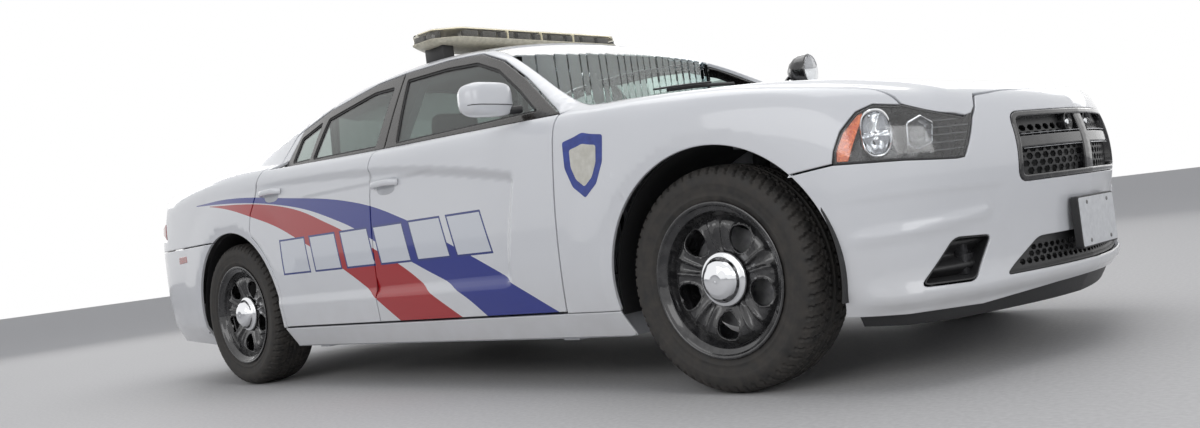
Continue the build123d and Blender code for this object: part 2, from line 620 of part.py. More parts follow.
# The mirror: a shell on a short foot at the front corner of the door's glass
mirror_x, mirror_y, mirror_z = 800.0, 1010.0, 1078.0
mirror_section = [(52, -40), (62, 5), (45, 58), (-40, 74), (-56, 60), (-58, -58), (-40, -70), (30, -66)]
mirror_head = Solid.make_loft([
    Wire(Polyline(*[(mirror_x + dx * s, mirror_y + dy, mirror_z + dz * s) for dx, dz in mirror_section],
                  close=True).edges())
    for dy, s in ((-105, 0.78), (-60, 1.0), (60, 1.0), (112, 0.62))], ruled=True)
foot_plan = [(66, 850), (-34, 850), (-30, 940), (40, 940)]
mirror_foot = plan_prism([(mirror_x + dx, y) for dx, y in foot_plan], 1014, 1056)
mirror_left = (mirror_head + mirror_foot - front_door).solid()

# Light bar on the roof above the centre pillars, and its feet
bar_x, bar_z = -40.0, 1494.0
bar_half, bar_depth, bar_height = 610.0, 300.0, 78.0
bar_tray_height = 26.0


def bar_outline(grow=0.0):
    half, depth, cut = bar_half - grow, bar_depth / 2 - grow, 105.0
    corner = [(depth, half - cut), (depth - 70, half), (-depth + 70, half), (-depth, half - cut)]
    corner += [(-x, -y) for x, y in corner]
    return [(bar_x + x, y) for x, y in corner]


light_bar_base = plan_prism(bar_outline(), bar_z, bar_z + bar_tray_height)
foot = box(bar_x - 70, bar_x + 70, 480, 560, 1380, bar_z) - cabin(-seat_gap)
foot = max(foot.solids(), key=lambda s: s.center().Z)
light_bar_base = (light_bar_base + foot + mirrored(foot)).solid()
lens_low = plan_prism(bar_outline(4), bar_z + bar_tray_height, bar_z + bar_height)
light_bar_lens = chamfer(lens_low.faces().sort_by(Axis.Z)[-1].edges(), 14).solid()

# Spot lamp on the left windscreen pillar
spot_x, spot_y, spot_z, spot_radius = 925.0, 892.0, 1196.0, 78.0
spot_lamp = Solid.make_cylinder(spot_radius, 62, Plane((spot_x, spot_y, spot_z), z_dir=(1, 0.1, 0)))
spot_lamp = spot_lamp + Solid.make_cone(34, spot_radius, 55, Plane(
    (spot_x - 54.7, spot_y - 5.5, spot_z), z_dir=(1, 0.1, 0)))
spot_lamp = spot_lamp + rod_between((spot_x - 40, spot_y - 5, spot_z - 8), (spot_x - 60, 780, 1120), 9)
spot_lamp = (spot_lamp - roof_rail - front_door - windshield).solids()
spot_lamp = max(spot_lamp, key=lambda s: s.volume)

# Wheels: a pressed steel disc with five windows in a drop-centre rim. Columns: radius and the
# distance outwards from the tyre's middle plane.


def turned(profile, x, y, z):
    """A ring turned about the wheel's axle from radius and outward offset."""
    face = make_face(Polyline(*[(x, y + off, z + r) for r, off in profile], close=True))
    return revolve(face, axis=Axis((x, y, z), (0, 1, 0)), revolution_arc=360).solid()


window_radius = 162.0
wheel_disc = turned([(26, 48), (110, 48), (140, 58), (170, 66), (206, 50), (214, 60), (214, 74), (170, 84),
                     (132, 72), (114, 62), (26, 62)], 0, 0, 0)
windows = []
for i in range(5):
    angle = math.radians(90 + 36 + 72 * i)
    oval = Plane((math.cos(angle) * window_radius, 20, math.sin(angle) * window_radius),
                 x_dir=(math.cos(angle), 0, math.sin(angle)), z_dir=(0, 1, 0))
    windows.append(extrude(oval * Ellipse(30, 48), amount=100).solid())
wheel_disc = wheel_disc - windows
flange_radius = rim_radius - 8
wheel_barrel = turned([
    (214, 60), (206, 50), (197, 30), (190, -30), (212, -44), (218, -84), (rim_radius - 13, -104),
    (rim_radius, -104), (rim_radius, -98), (flange_radius, -94), (228, -84), (222, -34), (202, -20), (206, 26),
    (228, 60), (232, 84), (flange_radius, 94), (rim_radius, 98), (rim_radius, 106), (rim_radius - 12, 106),
    (222, 92), (214, 74)], 0, 0, 0)
cap = turned([(0, 62), (hub_cap_radius + 8, 62), (hub_cap_radius + 8, 76), (hub_cap_radius, 84),
              (hub_cap_radius - 6, 98), (54, 110), (28, 116), (0, 118)], 0, 0, 0)
hub_bore = 25.3
rim = (wheel_disc + wheel_barrel + cap - rod_y(0, 0, hub_bore, 40, 70)).solid()
half = tyre_width / 2
bead_radius = rim_radius + rim_bead_gap
# One side of the tyre, from the tread to the bead and back along the inside to the crown
tyre_half = [(tyre_radius, half - 70), (355, half - 34), (343, half - 12), (318, half - 1), (290, half),
             (rim_radius + 14, 104), (bead_radius, 96.5), (flange_radius, 93.5), (232.3, 78), (248, 70),
             (274, 98), (310, 98), (334, 76), (340, 50)]
tyre = turned(tyre_half + [(342, 50)] + [(r, -off) for r, off in [(342, 50)] + tyre_half[::-1]], 0, 0, 0)

# Steering knuckles on an upright axis, with the stub that each front wheel turns on
kingpin_y = front_wheel_y - 80
stub_radius = 25.0
knuckle = rod_z(front_axle_x, kingpin_y, 22, 278, 542)
knuckle = knuckle + rod_y(front_axle_x, hub_z, 46, kingpin_y - 30, front_wheel_y - 8)
hub_face_dy = 48 - seat_gap
hub_face_y = front_wheel_y + hub_face_dy
knuckle = knuckle + rod_y(front_axle_x, hub_z, 72, front_wheel_y - 8, hub_face_y)
knuckle = (knuckle + rod_y(front_axle_x, hub_z, stub_radius, hub_face_y - 1, front_wheel_y + 60)).solid()
brake_disc = rod_y(front_axle_x, hub_z, 160, front_wheel_y - 14, front_wheel_y + 8)
knuckle = (knuckle + brake_disc).solid()

# What carries the front wheels: a cross beam, the lower arms and the strut legs
front_frame_beam = box(1590, 1750, -440, 440, 222, 282)
arm = prism([(1600, 420, 250), (1740, 420, 250), (front_axle_x + 22, kingpin_y + 22, 250),
             (front_axle_x - 22, kingpin_y + 22, 250)], (0, 0, 1), 278 - seat_gap - 250)
strut = rod_z(front_axle_x, kingpin_y, 22, 542 + seat_gap, 566) + prism(
    [(front_axle_x - 20, kingpin_y, 546), (front_axle_x + 20, kingpin_y, 546), (front_axle_x + 20, 600, 546),
     (front_axle_x - 20, 600, 546)], (0, 0, 1), 20)
strut = strut + rod_between((front_axle_x, 612, 546), (front_axle_x, 585, 795.6), 28)
front_suspension = front_frame_beam + arm + mirrored(arm)
front_suspension = (front_suspension.solid(), strut.solid(), mirrored(strut.solid()))

# Engine bay: rails, inner walls with the strut towers, and the beam behind the bumper
rail_beam = box(1162.3, 2360, 400, 470, 330, 440) - box(1580, 1760, 390, 480, 320, 330)
apron = box(1162.3, 2300, 462, 474, 440, 840)
tower = rod_z(front_axle_x, 586, 96, 772, 858) + box(front_axle_x - 90, front_axle_x + 90, 468, 586, 800, 840)
tower = tower - rod_z(front_axle_x, 586, 32, 760, 799)
bay_side = (rail_beam + apron + tower).solid()
support = box(2300, 2330, -620, 620, 300, 360) + box(2300, 2330, -620, 620, 735, 790)
support = support + box(2300, 2330, 590, 620, 300, 790) + box(2300, 2330, -620, -590, 300, 790)
# The closed hood rests on a stop at each side of the support
hood_stop = inner_limit & box(2300, 2330, 540, 580, 780, 1000)
support = support + hood_stop + mirrored(hood_stop)
front_beam = box(2340, 2396, -560, 560, 430, 530)
radiator = box(2268, 2300, -380, 380, 356, 740)
engine_bay = (bay_side + mirrored(bay_side) + support + front_beam + radiator).solid()
engine = box(1420, 2150, -300, 300, 320, 800) + box(1162.3, 1420, -180, 180, 300, 640)
engine = engine.solid() - box(1580, 1760, -450, 450, 200, 326)
gearbox = box(760, 1162.3 - seat_gap, -84, 84, 232, 370)

# Rear axle: the final drive, half shafts, cross beam and the carriers that hold the rear stubs
rear_suspension = box(rear_axle_x - 150, rear_axle_x + 130, -130, 130, 240, 430)
rear_suspension = rear_suspension + rod_y(rear_axle_x, hub_z, 26, -rear_wheel_y, rear_wheel_y)
rear_suspension = rear_suspension + box(rear_axle_x - 60, rear_axle_x + 60, -560, 560, 270, 320)
rear_suspension = rear_suspension + box(rear_axle_x - 40, rear_axle_x + 40, -100, 100, 420, 470 - seat_gap)
rear_hub_y = rear_wheel_y + hub_face_dy
carrier = rod_y(rear_axle_x, hub_z, 72, rear_hub_y - 60, rear_hub_y)
carrier = carrier + rod_y(rear_axle_x, hub_z, stub_radius, rear_hub_y - 1, rear_hub_y + 12)
carrier = carrier + box(rear_axle_x - 30, rear_axle_x + 30, 540, 790, 270, 310)
rear_suspension = rear_suspension + carrier + mirrored(carrier)
rear_disc = rod_y(rear_axle_x, hub_z, 155, rear_wheel_y - 12, rear_wheel_y + 8)
rear_suspension = (rear_suspension + rear_disc + mirrored(rear_disc)).solid()
driveshaft = rod_between((760 - seat_gap, 0, 290), (rear_axle_x + 130 + seat_gap, 0, 290), 34)
exhaust_radius = 30.0
exhaust_line = [(1140, 200, 172.7), (-560, 200, 172.7), (-980, 300, 190), (-1180, 480, 215),
                (-1700, 480, 232)]
exhaust = Part()
for start, end in zip(exhaust_line[:-1], exhaust_line[1:]):
    exhaust = exhaust + rod_between(start, end, exhaust_radius)
    exhaust = exhaust + Pos(*end) * Solid.make_sphere(exhaust_radius)
muffler = fillet(box(-2160, -1690, 380, 600, 205, 345).edges().filter_by(Axis.X), 50).solid()
tail_pipe = rod_between((-2150, 520, 250), (-2500, 520, 232), 38)
tail_pipe = tail_pipe - rod_between((-2300, 520, 243), (-2502, 520, 232), 33)
exhaust = (exhaust + muffler + tail_pipe).solid()

# Cabin: dash, steering wheel, two front seats and the rear bench
dash_front_x = firewall_x - seat_gap
dash_line = [(dash_front_x, 560), (dash_front_x, 940), (1000, 962), (760, 935), (700, 880), (706, 800),
             (800, 700), (900, 560)]
dashboard = side_prism(dash_line, -715, 715)
console_low = 400 + seat_gap
console_line = [(900, console_low), (900, 620), (780, 560), (-120, 540), (-140, console_low)]
console = side_prism(console_line, -104, 104)
dashboard = (dashboard + console).solid()
steering_y = 372.0
steering_centre = Vector(560, steering_y, 862)
steering_tilt = 24.0
steering_axis = Vector(-math.cos(math.radians(steering_tilt)), 0, math.sin(math.radians(steering_tilt)))
steering_plane = Plane(steering_centre, x_dir=(0, 1, 0), z_dir=steering_axis)
steering_radius, steering_grip = 178.0, 15.0
steering_rim = steering_plane * Solid.make_torus(steering_radius, steering_grip)
steering_hub = steering_plane * (Pos(0, 0, -38) * Solid.make_cylinder(62, 40))
spoke = Pos(40, -18, -22) * Solid.make_box(steering_radius - 42, 36, 14)
spokes = Part() + [steering_plane * (Rot(0, 0, angle) * spoke) for angle in (0, 180, 270)]
column_length, column_radius = 118.0, 20.0
column = Pos(0, 0, -38 - column_length) * Solid.make_cylinder(column_radius, column_length + 2)
steering_wheel = (steering_rim + steering_hub + spokes + steering_plane * column).solid()
column_hole = steering_plane * (Pos(0, 0, -520) * Solid.make_cylinder(column_radius + seat_gap, 480))
column_shroud = steering_plane * (Pos(0, 0, -330) * Solid.make_cylinder(46, 272))
dashboard = (dashboard + column_shroud - column_hole).solid()

seat_width = 476.0
seat_y = 375.0
seat_side = [(560, 300), (575, 420), (540, 462), (120, 440), (60, 470), (-40, 760), (-96, 960), (-150, 1000),
             (-196, 980), (-120, 640), (-40, 330), (20, 300)]
seat_shape = side_prism(seat_side, seat_y - seat_width / 2, seat_y + seat_width / 2)
headrest_side = [(-138, 1010), (-120, 1180), (-176, 1200), (-226, 1180), (-226, 1020)]
headrest = side_prism(headrest_side, seat_y - 130, seat_y + 130)
posts = rod_z(-176, seat_y - 60, 7, 960, 1030) + rod_z(-176, seat_y + 60, 7, 960, 1030)
seat_base = box(40, 470, seat_y - 220, seat_y - 190, floor_z + floor_wall, 301) + box(
    40, 470, seat_y + 190, seat_y + 220, floor_z + floor_wall, 301)
front_seat = (seat_shape + headrest + posts + seat_base).solid()
bench_side = [(-612, 300), (-600, 440), (-650, 478), (-1010, 452), (-1060, 520), (-1150, 940), (-1190, 985),
              (-1226, 985), (-1164, 488), (-1086, 352.5), (-690, 342.5)]
rear_seat = (side_prism(bench_side, -652, 652) - box(-700, -590, -160, 160, 200, 403)).solid()

save_pair("rear_quarters", rear_quarter)
save("front_bumper", front_bumper)
save("rear_bumper", rear_bumper)
save_pair("front_fenders", front_fender)
save("hood", hood)
save("trunk_lid", trunk_lid)
save_pair("headlamps", headlamp)
save_pair("tail_lamps", tail_lamp)
save("roof_panel", roof_panel)
save("windshield", windshield)
save("rear_window", rear_window)
save_pair("roof_rails", roof_rail)
save_pair("side_frames", side_frame)
save("floor_pan", floor_pan)
save("rear_shelf", rear_shelf)
save("firewall", firewall)
save("grilles", upper_grille, low_grille)
save("light_bar_base", light_bar_base)
save("light_bar_lens", light_bar_lens)
save("spot_lamp", spot_lamp)
save("front_suspension", *front_suspension)
save("engine_bay_frame", engine_bay)
save("engine", engine.solid(), gearbox)
save("rear_suspension", rear_suspension)
save("driveshaft", driveshaft)
save("exhaust", exhaust, mirrored(exhaust))
save("dashboard", dashboard)
save("front_seats", front_seat, mirrored(front_seat))
save("rear_seat", rear_seat)
save("steering_wheel", steering_wheel)
for side, flip in (("left", lambda s: s), ("right", mirrored)):
    save(f"front_door_{side}", flip(front_door))
    save(f"rear_door_{side}", flip(rear_door))
    save(f"front_door_glass_{side}", flip(front_glass))
    save(f"rear_door_glass_{side}", flip(rear_glass))
    save(f"mirror_{side}", flip(mirror_left))
    save(f"knuckle_{side}", flip(knuckle))
    for end, x, y in (("front", front_axle_x, front_wheel_y), ("rear", rear_axle_x, rear_wheel_y)):
        save(f"{end}_rim_{side}", flip(Pos(x, y, hub_z) * rim))
        save(f"{end}_tyre_{side}", flip(Pos(x, y, hub_z) * tyre))
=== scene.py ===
"""Looks of the four-door police patrol car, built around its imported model.

Metres in Blender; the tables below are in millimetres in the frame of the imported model:
X forward, Y to the car's left, Z up from the ground, origin under the middle of the car.
"""
import math

import bmesh
import bpy
import numpy as np
from mathutils import Matrix, Vector, geometry


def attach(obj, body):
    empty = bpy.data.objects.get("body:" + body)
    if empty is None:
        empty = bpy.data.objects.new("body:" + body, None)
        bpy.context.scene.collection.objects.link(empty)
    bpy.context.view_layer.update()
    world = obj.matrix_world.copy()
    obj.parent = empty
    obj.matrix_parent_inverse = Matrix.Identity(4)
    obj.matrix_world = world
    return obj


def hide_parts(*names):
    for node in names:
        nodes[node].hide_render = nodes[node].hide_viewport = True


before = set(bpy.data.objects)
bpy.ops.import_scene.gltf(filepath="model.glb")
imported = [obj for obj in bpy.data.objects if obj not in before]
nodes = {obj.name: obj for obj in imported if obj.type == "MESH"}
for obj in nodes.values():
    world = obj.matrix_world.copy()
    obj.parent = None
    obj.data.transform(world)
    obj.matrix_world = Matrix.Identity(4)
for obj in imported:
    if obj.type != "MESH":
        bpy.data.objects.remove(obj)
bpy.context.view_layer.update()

# Camera and studio. A low wide view of the right front corner, as the photograph has it: a plain
# pale floor that keeps the car's shadow, big soft lamps overhead and at the sides, white behind.
CAMERA_PLACE = (3.7262, -3.5517, 0.5702)
CAMERA_YAW, CAMERA_PITCH, CAMERA_ROLL = 0.762723, 0.0126543, -0.126707
camera_data = bpy.data.cameras.new("camera")
camera = bpy.data.objects.new("camera", camera_data)
bpy.context.scene.collection.objects.link(camera)
ahead = Vector((-math.sin(CAMERA_YAW) * math.cos(CAMERA_PITCH),
                math.cos(CAMERA_YAW) * math.cos(CAMERA_PITCH), math.sin(CAMERA_PITCH)))
level = Vector((math.cos(CAMERA_YAW), math.sin(CAMERA_YAW), 0))
upright = level.cross(ahead)
right = level * math.cos(CAMERA_ROLL) + upright * math.sin(CAMERA_ROLL)
upward = upright * math.cos(CAMERA_ROLL) - level * math.sin(CAMERA_ROLL)
camera.matrix_world = Matrix((
    (right.x, upward.x, -ahead.x, CAMERA_PLACE[0]),
    (right.y, upward.y, -ahead.y, CAMERA_PLACE[1]),
    (right.z, upward.z, -ahead.z, CAMERA_PLACE[2]), (0, 0, 0, 1)))
SENSOR_WIDTH, FOCAL_PIXELS, PHOTO_WIDTH = 36.0, 1067.19, 1200
camera_data.sensor_width = SENSOR_WIDTH
camera_data.lens = FOCAL_PIXELS * SENSOR_WIDTH / PHOTO_WIDTH
camera_data.clip_start, camera_data.clip_end = 0.05, 200
bpy.context.scene.camera = camera


def material(name, colour, rough=0.5, metal=0.0):
    """A new node material with its shader and node tree."""
    made = bpy.data.materials.new(name)
    made.use_nodes = True
    shader = made.node_tree.nodes["Principled BSDF"]
    shader.inputs["Base Color"].default_value = (*colour, 1)
    shader.inputs["Roughness"].default_value = rough
    shader.inputs["Metallic"].default_value = metal
    return made, shader, made.node_tree


def node(tree, kind, **values):
    """A shader node with its properties, and its sockets set by name or place."""
    made = tree.nodes.new(kind)
    for key, value in values.items():
        if key.startswith("in_"):
            socket = key[3:]
            socket = int(socket) if socket.isdigit() else socket.replace("_", " ")
            made.inputs[socket].default_value = value
        else:
            setattr(made, key, value)
    return made


def maths(tree, operation, a, b=0.0, clamp=False):
    """A maths node on two sockets or numbers."""
    made = tree.nodes.new("ShaderNodeMath")
    made.operation, made.use_clamp = operation, clamp
    for place, value in enumerate((a, b)):
        if isinstance(value, (int, float)):
            made.inputs[place].default_value = value
        else:
            tree.links.new(value, made.inputs[place])
    return made.outputs[0]


def grain(tree, shader, scale, low, high, bump=0.0, distance=0.001, detail=4.0):
    """Unevenness of a finish: noise that moves the roughness between two values and dents it."""
    place = node(tree, "ShaderNodeTexCoord")
    noise = node(tree, "ShaderNodeTexNoise", in_Scale=scale, in_Detail=detail)
    tree.links.new(place.outputs["Object"], noise.inputs["Vector"])
    spread = node(tree, "ShaderNodeMapRange", in_From_Min=0.3, in_From_Max=0.7,
                  in_To_Min=low, in_To_Max=high)
    tree.links.new(noise.outputs["Fac"], spread.inputs["Value"])
    tree.links.new(spread.outputs["Result"], shader.inputs["Roughness"])
    if bump:
        dents = node(tree, "ShaderNodeBump", in_Strength=bump, in_Distance=distance)
        tree.links.new(noise.outputs["Fac"], dents.inputs["Height"])
        tree.links.new(dents.outputs["Normal"], shader.inputs["Normal"])
    return noise


def tinted(tree, shader, noise, dark, light):
    """Colour that runs between two tones with a noise."""
    ramp = node(tree, "ShaderNodeValToRGB")
    ramp.color_ramp.elements[0].position, ramp.color_ramp.elements[1].position = 0.3, 0.7
    ramp.color_ramp.elements[0].color = (*dark, 1)
    ramp.color_ramp.elements[1].color = (*light, 1)
    tree.links.new(noise.outputs["Fac"], ramp.inputs["Fac"])
    tree.links.new(ramp.outputs["Color"], shader.inputs["Base Color"])
    return ramp


def two_toned(name, colour, rough, metal, uneven, dark, light):
    """A finish that runs between two tones as its roughness does; uneven is what grain is given."""
    made, shader, tree = material(name, colour, rough, metal)
    tinted(tree, shader, grain(tree, shader, *uneven), dark, light)
    return made


floor_mesh = bpy.data.meshes.new("floor")
floor_mesh.from_pydata([(-40, -40, 0), (40, -40, 0), (40, 40, 0), (-40, 40, 0)], [], [(0, 1, 2, 3)])
floor = bpy.data.objects.new("floor", floor_mesh)
bpy.context.scene.collection.objects.link(floor)
floor_paint = two_toned("pale_floor", (0.62, 0.61, 0.6), 0.7, 0.0, (60, 0.6, 0.8, 0.15, 0.002),
                        (0.56, 0.55, 0.54), (0.66, 0.65, 0.64))
floor_mesh.materials.append(floor_paint)

world = bpy.data.worlds.new("studio")
bpy.context.scene.world = world
world.use_nodes = True
tree = world.node_tree
tree.nodes.clear()
rays = node(tree, "ShaderNodeLightPath")
lit = node(tree, "ShaderNodeBackground", in_Strength=0.36)
lit.inputs["Color"].default_value = (0.86, 0.9, 1.0, 1)
white = node(tree, "ShaderNodeBackground", in_Strength=1.0)
white.inputs["Color"].default_value = (1, 1, 1, 1)
blend_backgrounds = node(tree, "ShaderNodeMixShader")
sees_white = maths(tree, "MAXIMUM", rays.outputs["Is Camera Ray"], rays.outputs["Is Transmission Ray"])
sees_white = maths(tree, "MAXIMUM", sees_white, rays.outputs["Is Glossy Ray"])
tree.links.new(sees_white, blend_backgrounds.inputs[0])
tree.links.new(lit.outputs[0], blend_backgrounds.inputs[1])
tree.links.new(white.outputs[0], blend_backgrounds.inputs[2])
tree.links.new(blend_backgrounds.outputs[0], node(tree, "ShaderNodeOutputWorld").inputs[0])

# Lamps. Columns: name, place, point looked at, size, watts.
LAMPS = [
    ("overhead", (0.5, 0.5, 5.5), (0.3, 0, 0.5), (7.0, 4.5), 125),
    ("right_side", (1.5, -7.0, 3.2), (0.5, 0, 0.7), (8.0, 2.2), 105),
    ("front", (8.0, -1.5, 3.0), (2.0, 0, 0.6), (4.0, 2.0), 60),
    ("left_side", (-1.0, 7.0, 3.2), (0.0, 0, 0.7), (8.0, 2.2), 60),
    ("rear", (-8.0, 0.5, 3.0), (-2.0, 0, 0.7), (4.0, 2.0), 55),
]
for name, place, target, size, watts in LAMPS:
    lamp = bpy.data.lights.new(name, "AREA")
    lamp.shape, lamp.size, lamp.size_y, lamp.energy = "RECTANGLE", *size, watts
    stand = bpy.data.objects.new(name, lamp)
    stand.location = place
    stand.rotation_mode = "QUATERNION"
    stand.rotation_quaternion = (Vector(target) - Vector(place)).to_track_quat("-Z", "Y")
    bpy.context.scene.collection.objects.link(stand)
bpy.context.scene.view_settings.view_transform = "Standard"

# Body skin. Pressed steel panels in white enamel with the flares, the door hollow and the creases
# pressed in. Every panel is drawn on one form, so their edges meet at the shut lines, and has
# rolled edges and a real thickness.

# Sections below the belt. Columns: x, underside z, half width of the underside, half width and z
# of the sill bend, half width and z of the widest line, half width and z of the shoulder, half
# width and z of the top's edge, z of the top at the middle.
SECTIONS = np.array([
    (2620, 195, 560, 660, 290, 690, 560, 660, 715, 560, 762, 770),
    (2150, 192, 800, 884, 300, 906, 560, 890, 780, 790, 882, 906),
    (1668, 190, 850, 922, 290, 947, 600, 930, 862, 812, 966, 991),
    (1140, 187, 868, 926, 285, 948, 620, 932, 915, 838, 1000, 1056),
    (0, 187, 870, 928, 285, 951, 620, 934, 945, 868, 1024, 1046),
    (-900, 187, 870, 928, 290, 952, 640, 936, 968, 850, 1064, 1090),
    (-1384, 190, 865, 926, 300, 952, 660, 932, 990, 800, 1088, 1116),
    (-2000, 200, 830, 900, 320, 928, 660, 905, 965, 745, 1070, 1108),
    (-2620, 240, 700, 790, 340, 812, 640, 780, 940, 650, 1052, 1098),
], float)[::-1]
# Sections of the cabin. Columns: x, half width at the base, half width and z of the edge along
# pillars and roof, z of the roof or glass at the middle.
CABIN = np.array([
    (1350, 900, 885, 958, 1012),
    (1110, 898, 866, 1003, 1102),
    (800, 896, 762, 1168, 1242),
    (520, 895, 676, 1316, 1373),
    (330, 895, 650, 1360, 1425),
    (-150, 895, 640, 1378, 1448),
    (-628, 894, 652, 1334, 1424),
    (-1050, 890, 690, 1232, 1330),
    (-1430, 880, 735, 1118, 1190),
    (-1800, 860, 770, 1010, 1062),
], float)[::-1]
CABIN_BASE_Z = 940.0


def curve_through(table):
    """A smooth curve through rows of x and one or more values, as a function of x."""
    xs, ys = table[:, 0], table[:, 1:]
    steps = np.diff(xs)
    count = len(xs)
    matrix, moved = np.eye(count), np.zeros_like(ys)
    for i in range(1, count - 1):
        matrix[i, i - 1:i + 2] = steps[i - 1], 2 * (steps[i - 1] + steps[i]), steps[i]
        moved[i] = 6 * ((ys[i + 1] - ys[i]) / steps[i] - (ys[i] - ys[i - 1]) / steps[i - 1])
    bends = np.linalg.solve(matrix, moved)

    def value(x):
        x = np.clip(np.asarray(x, float), xs[0], xs[-1])
        i = np.clip(np.searchsorted(xs, x) - 1, 0, count - 2)
        t, h = (x - xs[i])[..., None], steps[i][..., None]
        slope = (ys[i + 1] - ys[i]) / h - h * (2 * bends[i] + bends[i + 1]) / 6
        found = ys[i] + t * slope + t ** 2 * bends[i] / 2 + t ** 3 * (bends[i + 1] - bends[i]) / (6 * h)
        return np.moveaxis(found, -1, 0)
    return value


def smooth_step(x):
    x = np.clip(x, 0, 1)
    return x * x * (3 - 2 * x)


def soft_max(a, b, radius):
    """The larger of two, rounded where they are within a radius of each other."""
    near = np.maximum(radius - np.abs(a - b), 0) / radius
    return np.maximum(a, b) + near ** 3 * radius / 6


section_at = curve_through(SECTIONS)
cabin_at = curve_through(CABIN)
nose_plan = curve_through(np.array([
    (0, 0), (160, 15), (320, 47), (480, 92), (620, 138), (740, 196), (808, 252), (868, 333), (905, 432),
    (925, 560), (960, 900)], float))
# The nose's outline at the middle of the car, z to x
nose_profile = curve_through(np.array([
    (100, 2400), (160, 2440), (225, 2474), (300, 2487), (398, 2486), (470, 2494), (536, 2508), (600, 2514),
    (677, 2509), (757, 2488), (815, 2464), (900, 2420), (1000, 2350)], float))
tail_plan = curve_through(np.array([
    (0, 0), (345, 21), (690, 84), (765, 112), (822, 155), (870, 240), (905, 390), (925, 560),
    (960, 900)], float))

# The door hollow's upper edge and front wall, x to z and z to x
hollow_top = curve_through(np.array([
    (-2000, 985), (-1400, 1000), (-1000, 1000), (-654, 986), (-106, 951), (319, 903), (600, 858),
    (900, 800)], float))
hollow_front = curve_through(np.array([(300, 742), (453, 752), (744, 819), (1000, 880)], float))
FRONT_ARCH = (1678, 358, 424)
REAR_ARCH = (-1365, 360, 418)


FLARE_PROUD, FLARE_CUT, FLARE_LIP, FLARE_FADE = 16, 9, 46, 190
HOLLOW_DEEP, HOLLOW_EDGE, LEDGE_Z = 27, 46, 392


def pressed(x, z):
    """How far the side stands proud of its plain form: flares, hollow, ledge and haunches."""
    proud = np.zeros_like(x)
    for centre_x, centre_z, radius in (FRONT_ARCH, REAR_ARCH):
        off = np.hypot(x - centre_x, z - centre_z) - radius
        above = smooth_step((z - 200) / 200)
        lip = FLARE_PROUD - FLARE_CUT * (FLARE_LIP - off) / FLARE_LIP
        fading = FLARE_PROUD * (1 - smooth_step((off - FLARE_LIP) / FLARE_FADE))
        band = np.where(off < FLARE_LIP, lip, fading)
        proud = proud + band * (0.35 + 0.65 * above)
    depth = HOLLOW_DEEP * smooth_step((x + 2000) / 2700)
    under_top = smooth_step((hollow_top(x)[0] - z) / HOLLOW_EDGE)
    behind_front = smooth_step((hollow_front(z)[0] - x) / 52)
    above_ledge = smooth_step((z - LEDGE_Z) / HOLLOW_EDGE)
    proud = proud - depth * under_top * behind_front * above_ledge
    return proud


def side_at(x, z):
    """Half width of the body's side."""
    z0, y0, y1, z1, y2, z2, y3, z3 = section_at(x)[:8]
    plain = (y1 * (z - z2) * (z - z3) / ((z1 - z2) * (z1 - z3))
             + y2 * (z - z1) * (z - z3) / ((z2 - z1) * (z2 - z3))
             + y3 * (z - z1) * (z - z2) / ((z3 - z1) * (z3 - z2)))
    under = np.maximum(z1 - z, 0)
    return plain - under * 0.35 + pressed(x, z)


def top_at(x, y):
    """Height of the hood, cowl and rear deck."""
    y4, z4, z5 = section_at(x)[8:11]
    return z5 - (z5 - z4) * (y / y4) ** 2


def nose_at(y, z):
    return nose_profile(z)[0] - nose_plan(np.abs(y))[0]


def tail_at(y, z):
    rise = np.where(z > 700, 46 * smooth_step((z - 690) / 380), 110 * (np.maximum(560 - z, 0) / 410) ** 2)
    return -2538.5 + rise + tail_plan(np.abs(y))[0]


SHOULDER_ROUND, END_ROUND, ROOF_ROUND, FILLET = 120.0, 60.0, 26.0, 26.0
SLOPE_STEP = 4.0


def body_level(p):
    """Below zero inside the body under the belt, above zero outside it."""
    x, y, z = p[..., 0], np.abs(p[..., 1]), p[..., 2]
    side, top = y - side_at(x, z), z - top_at(x, y)
    level = soft_max(side, top, SHOULDER_ROUND)
    nose = x - nose_at(y, z)
    nose = nose / np.hypot(1, (nose_at(y + SLOPE_STEP, z) - nose_at(y, z)) / SLOPE_STEP)
    tail = tail_at(y, z) - x
    tail = tail / np.hypot(1, (tail_at(y + SLOPE_STEP, z) - tail_at(y, z)) / SLOPE_STEP)
    level = soft_max(level, nose, END_ROUND)
    return soft_max(level, tail, END_ROUND)


def cabin_level(p):
    """The same for the cabin's form above the belt."""
    x, y, z = p[..., 0], np.abs(p[..., 1]), p[..., 2]
    base, edge, edge_z, crown_z = cabin_at(x)
    share = (z - CABIN_BASE_Z) / (edge_z - CABIN_BASE_Z)
    side = y - (base + (edge - base) * share + 36 * share * (1 - share))
    top = z - (crown_z - (crown_z - edge_z) * (y / edge) ** 2)
    ends = np.maximum(np.maximum(x - 1300, -1750 - x), CABIN_BASE_Z - 50 - z)
    return np.maximum(soft_max(side, top, ROOF_ROUND), ends)


def form_level(p):
    """Body and cabin together, with a small fillet where they meet."""
    return -soft_max(-body_level(p), -cabin_level(p), FILLET)


FARTHEST, HALVINGS = 1800.0, 24


def reach(start, direction, level=form_level):
    """Where rays from inside leave the form. A ray must start inside it."""
    near, away = np.zeros(len(start)), np.full(len(start), FARTHEST)
    for _ in range(HALVINGS):
        middle = (near + away) / 2
        inside = level(start + direction * middle[:, None]) < 0
        near, away = np.where(inside, middle, near), np.where(inside, away, middle)
    return start + direction * near[:, None]


SWEEP = 450.0       # a side's sweep angle times this is a length, to keep its grid even
SIDE_LINE = 450     # y and z of the line that a side's rays leave


